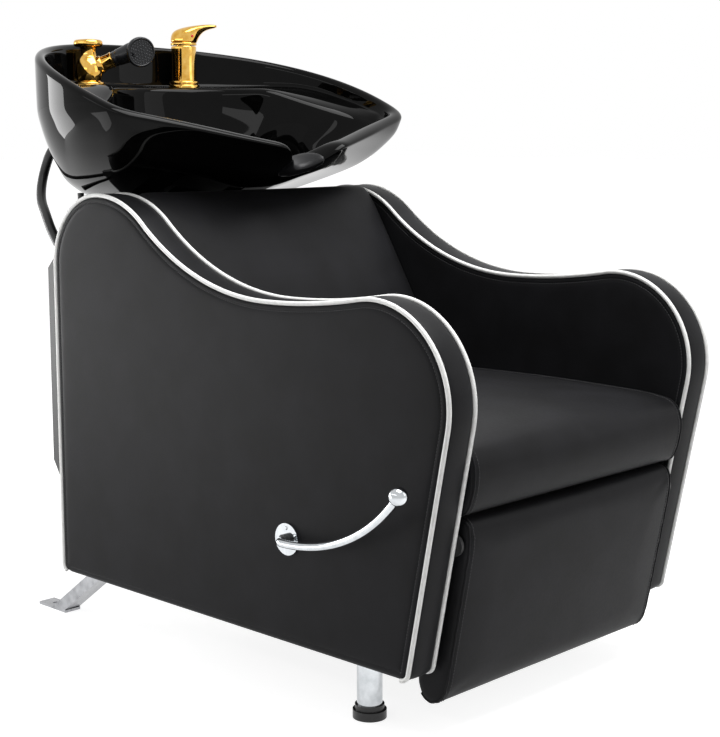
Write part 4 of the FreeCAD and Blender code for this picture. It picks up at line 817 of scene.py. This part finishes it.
def bowl_sections():
    """For each number round the bowl, its section: up the outside, over the rim and into the basin."""
    outer, count = level_table(0, 0)
    inner, _ = level_table(BOWL_WALL, BOWL_FLOOR)
    floor_z = BOWL_BASE_Z + BOWL_FLOOR
    sections = []
    for number, crest in enumerate(rim_crests(outer, count)):
        points = []
        top = crest - LIP_R
        for step in range(OUTER_ROWS + 1):
            z = BOWL_BASE_Z + (top - BOWL_BASE_Z) * (step / OUTER_ROWS) ** OUTER_EASE
            points.append((*outer(number, z), z))
        (ox, oy), (ix, iy) = outer(number, top), inner(number, top)
        for turn in range(LIP_TURN, 180, LIP_TURN):
            across = (1 - math.cos(math.radians(turn))) / 2
            lift = LIP_R * math.sin(math.radians(turn))
            points.append((ox + (ix - ox) * across, oy + (iy - oy) * across, top + lift))
        ledge = DECK_Z - LEDGE_DROP * smooth_step(-inner(number, DECK_Z)[1], *LEDGE_RUN)
        deck = min(ledge, top - DECK_UNDER_RIM)
        for step in range(INNER_ROWS + 1):
            z = top + (deck + DECK_FILLET - top) * step / INNER_ROWS
            points.append((*inner(number, z), z))
        wall = inner(number, deck)
        deep = smooth_step(wall[1], *LEDGE_FADES)

        def basin(z):
            """Basin wall: the shell's own inside at the front, a round pot behind."""
            x, y = inner(number, z)
            reach = math.hypot(x, y - BASIN_Y)
            pot = min(reach, BASIN_R - BASIN_TAPER * smooth_step(deck - z, *TAPER_DEPTHS))
            share = 1 - deep + deep * pot / reach
            return (x * share, BASIN_Y + (y - BASIN_Y) * share)

        edge = basin(deck)
        step_in = math.dist(wall, edge)
        turn = min(0.3, DECK_FILLET / step_in) if step_in > 1 else 0.3
        for share, drop in ((turn * 0.3, -4), (turn, -0.5), (0.5, 0), (1 - turn, 0.5), (1 - turn * 0.3, 4)):
            place = tuple(p + (q - p) * share for p, q in zip(wall, edge))
            points.append((*place, deck - drop * deep - (1 - deep) * DECK_FILLET * (2 * share - 1)))
        high, low = deck - BASIN_START, floor_z + 1
        for step in range(BASIN_ROWS + 1):
            z = high + (low - high) * step / BASIN_ROWS
            points.append((*basin(z), z))
        x, y, _ = points[-1]
        for share in FLOOR_SHARES:
            points.append((x * share, DRAIN_Y + (y - DRAIN_Y) * share, floor_z - 1 + share))
        sections.append(points)
    return sections


# Sections to each side of the middle, rows of a section, thickness and depth of the neck pad
PAD_REACH, PAD_FROM, PAD_TO, PAD_THICK, PAD_SUNK = 5, 19, 43, 4.0, 1.5


def neck_pad_rings(sections):
    """Soft pad folded over the notch's lip: the glaze's sections there, raised to a skin and sunk to a back."""
    rings = []
    for number in range(-PAD_REACH, PAD_REACH + 1):
        here, before, after = (sections[(number + step) % len(sections)] for step in (0, -1, 1))
        ends = smooth_step(PAD_REACH + 1 - abs(number), 0, 2)
        skin, back = [], []
        for row in range(PAD_FROM, PAD_TO):
            along = Vector(here[row + 1]) - Vector(here[row - 1])
            around = Vector(after[row]) - Vector(before[row])
            outward = around.cross(along).normalized()
            high = PAD_THICK * ends * smooth_step(min(row - PAD_FROM, PAD_TO - 1 - row), -1, 3)
            skin.append(Vector(here[row]) + outward * high)
            back.append(Vector(here[row]) - outward * PAD_SUNK)
        rings.append(skin + back[::-1])
    return rings


def subdivide(piece, levels):
    fine = piece.modifiers.new("fine", "SUBSURF")
    fine.levels = fine.render_levels = levels


def build_bowl():
    sections = bowl_sections()
    rings = [[section[row] for section in sections] for row in range(len(sections[0]))]
    bowl = finish_piece(ring_mesh("bowl_glazed", rings, caps=True), GLAZE, "bowl_unit", ["bowl"],
                        smooth=80)
    subdivide(bowl, 1)
    pad = finish_piece(ring_mesh("neck_pad_moulded", neck_pad_rings(sections), caps=True), GEL, "bowl_unit",
                       ["neck_pad"], smooth=70)
    subdivide(pad, 2)


# Fittings: turned gold pieces, the beak handle and the hand spray, in mm

UP = Vector((0, 0, 1))
MIXER_AT, HOLDER_AT = Vector((108, 36, 980)), Vector((-132, 26, 980))
BEAK_TURN, SPRAY_RISE = math.radians(-46), math.radians(22)
BEAK_WAY = Vector((math.cos(BEAK_TURN), math.sin(BEAK_TURN), 0))
BEAK_ACROSS = UP.cross(BEAK_WAY)
SPRAY_WAY = BEAK_WAY * math.cos(SPRAY_RISE) + UP * math.sin(SPRAY_RISE)
BALL_Z, HEAD_OUT, HEAD_DROP, FACE_HIGH = 28.95, 104, 6, 7.6
HEART = HOLDER_AT + UP * BALL_Z
HEAD_AT = HEART + SPRAY_WAY * HEAD_OUT - UP * HEAD_DROP
HEAD_FACE = Vector((-0.24, -0.96, -0.12)).normalized()
# Walls as (radius, height along the axis)
BASE_RING = (
    (31, 0), (31, 4), (30.2, 5.4), (27.6, 6.2), (27.6, 7.4), (30, 8.4), (30, 11.6), (28.8, 12.8), (25.6, 13.2),
)
BODY_WALL = (
    (25, 13), (24.9, 16), (24.2, 30), (23.8, 48), (24.2, 66), (25, 76), (25, 79.6), (24.2, 81.2), (22, 81.6),
)
CARTRIDGE = ((14, 64.6), (14, 90))
HANDLE_RING = ((23, 82.6), (25.6, 83), (26, 84.2), (26, 86.6), (25.4, 87.8), (23, 88))
HOLDER_WALL = (
    (28.5, 0), (28.5, 3.6), (27.6, 5.4), (24.6, 6.4), (22.6, 8.2), (24.4, 14), (25.5, 22), (25.4, 31),
    (23.6, 40), (20, 47), (16, 51.5), (14.4, 55), (14.4, 66), (15.6, 68.4), (16.6, 70),
)
CAP_WALL = (
    (15.5, 70.4), (22, 70.8), (26, 72.6), (27, 75.6), (27, 79), (26.2, 81.8), (23.6, 83.6), (15, 84.8),
    (4, 85.1),
)
COLLAR_WALL = (
    (16.6, 17), (16.6, 27), (15.6, 28.4), (14, 29), (14, 46), (15, 47), (15, 49), (14, 49.5), (10.6, 49.5),
)
GRIP_WALL = (
    (10, 28), (10, 50), (13.2, 50.2), (14, 51.4), (14.4, 56), (14.2, 57), (15, 58), (16, 68), (17, 78),
    (17.8, 86), (17.4, 92),
)
HEAD_WALL = (
    (9, -24), (15, -21), (20.5, -14), (25, -6), (27.4, -1), (28, 2), (28, 7), (27, 8.8), (25.4, 9.4), (24, 8.8),
    (23.4, 7.6),
)
DOT_WALL, DOT_SIDES, DOT_NEAR = ((2.6, -0.8), (2.6, 0.1), (2.2, 0.45), (1.2, 0.6)), 24, (22, -24, 100)
MIXER_TURNED = (
    # name, wall, body, replaced nodes
    ("mixer_base_turned", BASE_RING, "bowl_unit", ["mixer_base"]),
    ("mixer_body_turned", BODY_WALL, "bowl_unit", ["mixer_body"]),
    ("mixer_cartridge_turned", CARTRIDGE, "mixer_turn", ["mixer_cartridge"]),
    ("mixer_handle_ring", HANDLE_RING, "mixer_lever", []),
)
SPRAY_TURNED = (
    # name, wall, place, axis, body, slot, replaced nodes, smoothing angle
    ("spray_holder_turned", HOLDER_WALL, HOLDER_AT, UP, "bowl_unit", "gold", ["spray_holder"], 60),
    ("holder_cap_turned", CAP_WALL, HOLDER_AT, UP, "bowl_unit", "gold", ["holder_cap"], 60),
    ("spray_collar_turned", COLLAR_WALL, HEART, SPRAY_WAY, "bowl_unit", "gold", [], 60),
    ("sprayer_grip_moulded", GRIP_WALL, HEART, SPRAY_WAY, "sprayer", "spray_black", ["sprayer_grip"], 50),
    ("sprayer_head_moulded", HEAD_WALL, HEAD_AT, HEAD_FACE, "sprayer", "spray_black", ["sprayer_head"], 50),
)
NOZZLE_RINGS = ((1, 0), (6, 6), (12, 12), (18, 17), (24, 21.2))  # nozzles, radius of their ring
NOZZLE_WALL, NOZZLE_SIDES = ((1.35, -1), (1.25, 0.5), (0.8, 1.3)), 8
BEAK = (
    # upper and lower side of the handle as (along the beak, height), half width
    ((-25, 87), (25, 87), 25), ((-25.6, 92), (26.8, 89.6), 25.2), ((-25.4, 99), (29, 94.4), 25),
    ((-23, 106.6), (31.6, 99.6), 24),
    ((-16.6, 113), (34.6, 104), 22), ((-3, 117.6), (38.4, 108), 19), ((13, 120.8), (42.8, 111), 16.2),
    ((30, 123), (48, 113.2), 14), ((45, 124.1), (54, 114.8), 12.6), ((56, 124.3), (60, 116), 11.4),
    ((63.5, 123.4), (64.4, 117.4), 9), ((66.6, 122), (66.8, 119.2), 4.4),
)


BEAK_SIDES = 40


def turned_mesh(name, wall, place, way=UP, sides=72):
    """Round piece: (radius, height) points of its wall, turned about an axis through place."""
    side = way.orthogonal().normalized()
    other = way.cross(side)
    rings = [round_points(place + way * height, side, other, radius, sides) for radius, height in wall]
    return ring_mesh(name, rings, caps=True)


def beak_mesh(name):
    """The mixer's handle: rings that lean over from the cap into the beak."""
    rings = []
    for upper, lower, half in BEAK:
        first, last = (MIXER_AT + BEAK_WAY * along + UP * height for along, height in (upper, lower))
        rings.append(round_points((first + last) / 2, (last - first) / 2, BEAK_ACROSS * half, 1, BEAK_SIDES))
    return ring_mesh(name, rings, caps=True)


def nozzle_mesh(name, face, way):
    """Rubber nozzles in rings on the spray's face."""
    side = way.orthogonal().normalized()
    other = way.cross(side)
    points, faces = [], []
    for count, radius in NOZZLE_RINGS:
        for spot in round_points(face, side, other, radius, count):
            tapered(points, faces, [
                round_points(spot + way * high, side, other, wide, NOZZLE_SIDES) for wide, high in NOZZLE_WALL])
    mesh = bpy.data.meshes.new(name)
    mesh.from_pydata(points, [], faces)
    return mesh


def build_fittings():
    for name, wall, body, replaced in MIXER_TURNED:
        finish_piece(turned_mesh(name, wall, MIXER_AT), GOLD, body, replaced, smooth=50)
    handle = finish_piece(beak_mesh("mixer_handle_cast"), GOLD, "mixer_lever", ["mixer_handle"],
                          smooth=60)
    subdivide(handle, 2)
    along, beside, high = DOT_NEAR
    near = MIXER_AT + BEAK_WAY * along + BEAK_ACROSS * beside + UP * high
    skin = BVHTree.FromObject(handle, bpy.context.evaluated_depsgraph_get())
    spot, facing, _, _ = skin.find_nearest(near * MM)
    dot = turned_mesh("hot_mark_dot", DOT_WALL, spot / MM, facing, DOT_SIDES)
    finish_piece(dot, RED, "mixer_lever")
    for name, wall, place, way, body, slot, replaced, smooth in SPRAY_TURNED:
        finish_piece(turned_mesh(name, wall, place, way), SLOT_FINISH[slot], body, replaced, smooth)
    jets = nozzle_mesh("sprayer_nozzles", HEAD_AT + HEAD_FACE * FACE_HIGH, HEAD_FACE)
    finish_piece(jets, NOZZLE, "sprayer")


# Hoses, along the CAD routes

SPRAY_ROUTE = [
    (-148, 82, 884), (-158, 112, 868), (-174, 124, 812), (-204, 92, 768), (-224, 46, 740), (-238, 8, 708),
    (-240, -31.7, 668.3),
]
FEED_ROUTE = [(-222, -62, 783), (-223, -64, 764), (-224, -66, 735), (-224, -66, 690.3)]
HOSES = (("spray_hose", SPRAY_ROUTE, 9), ("feed_hose", FEED_ROUTE, 6))  # node, route, radius
HOSE_SIDES, HOSE_FINENESS = 24, 16


def build_hoses():
    for name, route, radius in HOSES:
        line = bpy.data.curves.new(name + "_line", "CURVE")
        line.dimensions = "3D"
        spline = line.splines.new("NURBS")
        spline.points.add(len(route) - 1)
        for point, place in zip(spline.points, route):
            point.co = (*(Vector(place) * MM), 1)
        spline.order_u = 3
        spline.use_endpoint_u = True
        spline.resolution_u = HOSE_FINENESS
        guide = bpy.data.objects.new(name + "_line", line)
        bpy.context.collection.objects.link(guide)
        path = [v.co / MM for v in bpy.data.meshes.new_from_object(guide).vertices]
        bpy.data.objects.remove(guide)
        mesh = tube_mesh(name + "_laid", path, radius, HOSE_SIDES)
        hose = bpy.data.objects.new(name + "_laid", mesh)
        bpy.context.collection.objects.link(hose)
        mesh.materials.append(RUBBER)
        mesh.shade_smooth()
        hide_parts(name)
        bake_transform(hose)


# Light and floor

FLOOR_HALF, FLOOR_GLOW, DIFFUSE_SKY = 40.0, 0.86, 0.3
LAMPS = (
    # name, place, aim, size in metres, watts
    ("top_box", (0.2, -1.2, 3.0), (0, -0.4, 0.5), (2.4, 2.0), 125),
    ("front_box", (1.6, -3.0, 1.7), (0, -0.7, 0.4), (1.6, 1.6), 9),
    ("side_strip", (-2.2, -0.1, 1.5), (0.3, -0.1, 0.93), (3.0, 0.2), 6),
    ("panel_near", (-1.35, 0.4, 0.3), (-0.33, -0.28, 0.88), (0.6, 0.55), 3.5),
    ("panel_far", (-0.93, 1.98, 0.6), (-0.34, -0.2, 0.92), (0.8, 1.2), 26),
)


def area_light(name, place, aim, size, power):
    lamp = bpy.data.lights.new(name, "AREA")
    lamp.shape = "RECTANGLE"
    lamp.size, lamp.size_y = size
    lamp.energy = power
    holder = bpy.data.objects.new(name, lamp)
    bpy.context.collection.objects.link(holder)
    holder.location = place
    holder.rotation_euler = (Vector(aim) - Vector(place)).to_track_quat("-Z", "Y").to_euler()


def seen_rays(tree):
    """1 for rays of direct sight, reflection and transmission, which see the white studio."""
    rays = add(tree, "ShaderNodeLightPath")
    mirror = add(tree, "ShaderNodeMath", {
        0: rays.outputs["Is Glossy Ray"], 1: rays.outputs["Is Transmission Ray"]}, operation="MAXIMUM")
    seen = add(tree, "ShaderNodeMath", {
        0: rays.outputs["Is Camera Ray"], 1: mirror.outputs["Value"]}, operation="MAXIMUM")
    return seen.outputs["Value"]


def studio_world():
    world = bpy.data.worlds.new("studio")
    world.use_nodes = True
    tree = world.node_tree
    sky = tree.nodes["Background"]
    sky.inputs["Color"].default_value = linear("#ffffff")
    tree.links.new(spread(tree, seen_rays(tree), DIFFUSE_SKY, 1.0), sky.inputs["Strength"])
    bpy.context.scene.world = world


def floor_finish():
    # Matt white paper with a glow in sight and reflections, so it meets the white background.
    made, tree, shader = material("floor_white", {
        "Base Color": linear("#bdbdbd"), "Roughness": 0.9, "Emission Color": linear("#ffffff")})
    tree.links.new(spread(tree, seen_rays(tree), 0.0, FLOOR_GLOW), shader.inputs["Emission Strength"])
    return made


def set_stage():
    bpy.ops.mesh.primitive_plane_add(size=2 * FLOOR_HALF)
    floor = bpy.context.active_object
    floor.name = "floor"
    floor.data.materials.append(floor_finish())
    studio_world()
    for lamp in LAMPS:
        area_light(*lamp)
    bpy.context.scene.view_settings.view_transform = "Standard"


dress_frame()
build_arms()
build_cushions()
build_bowl()
build_fittings()
build_hoses()
set_camera()
set_stage()
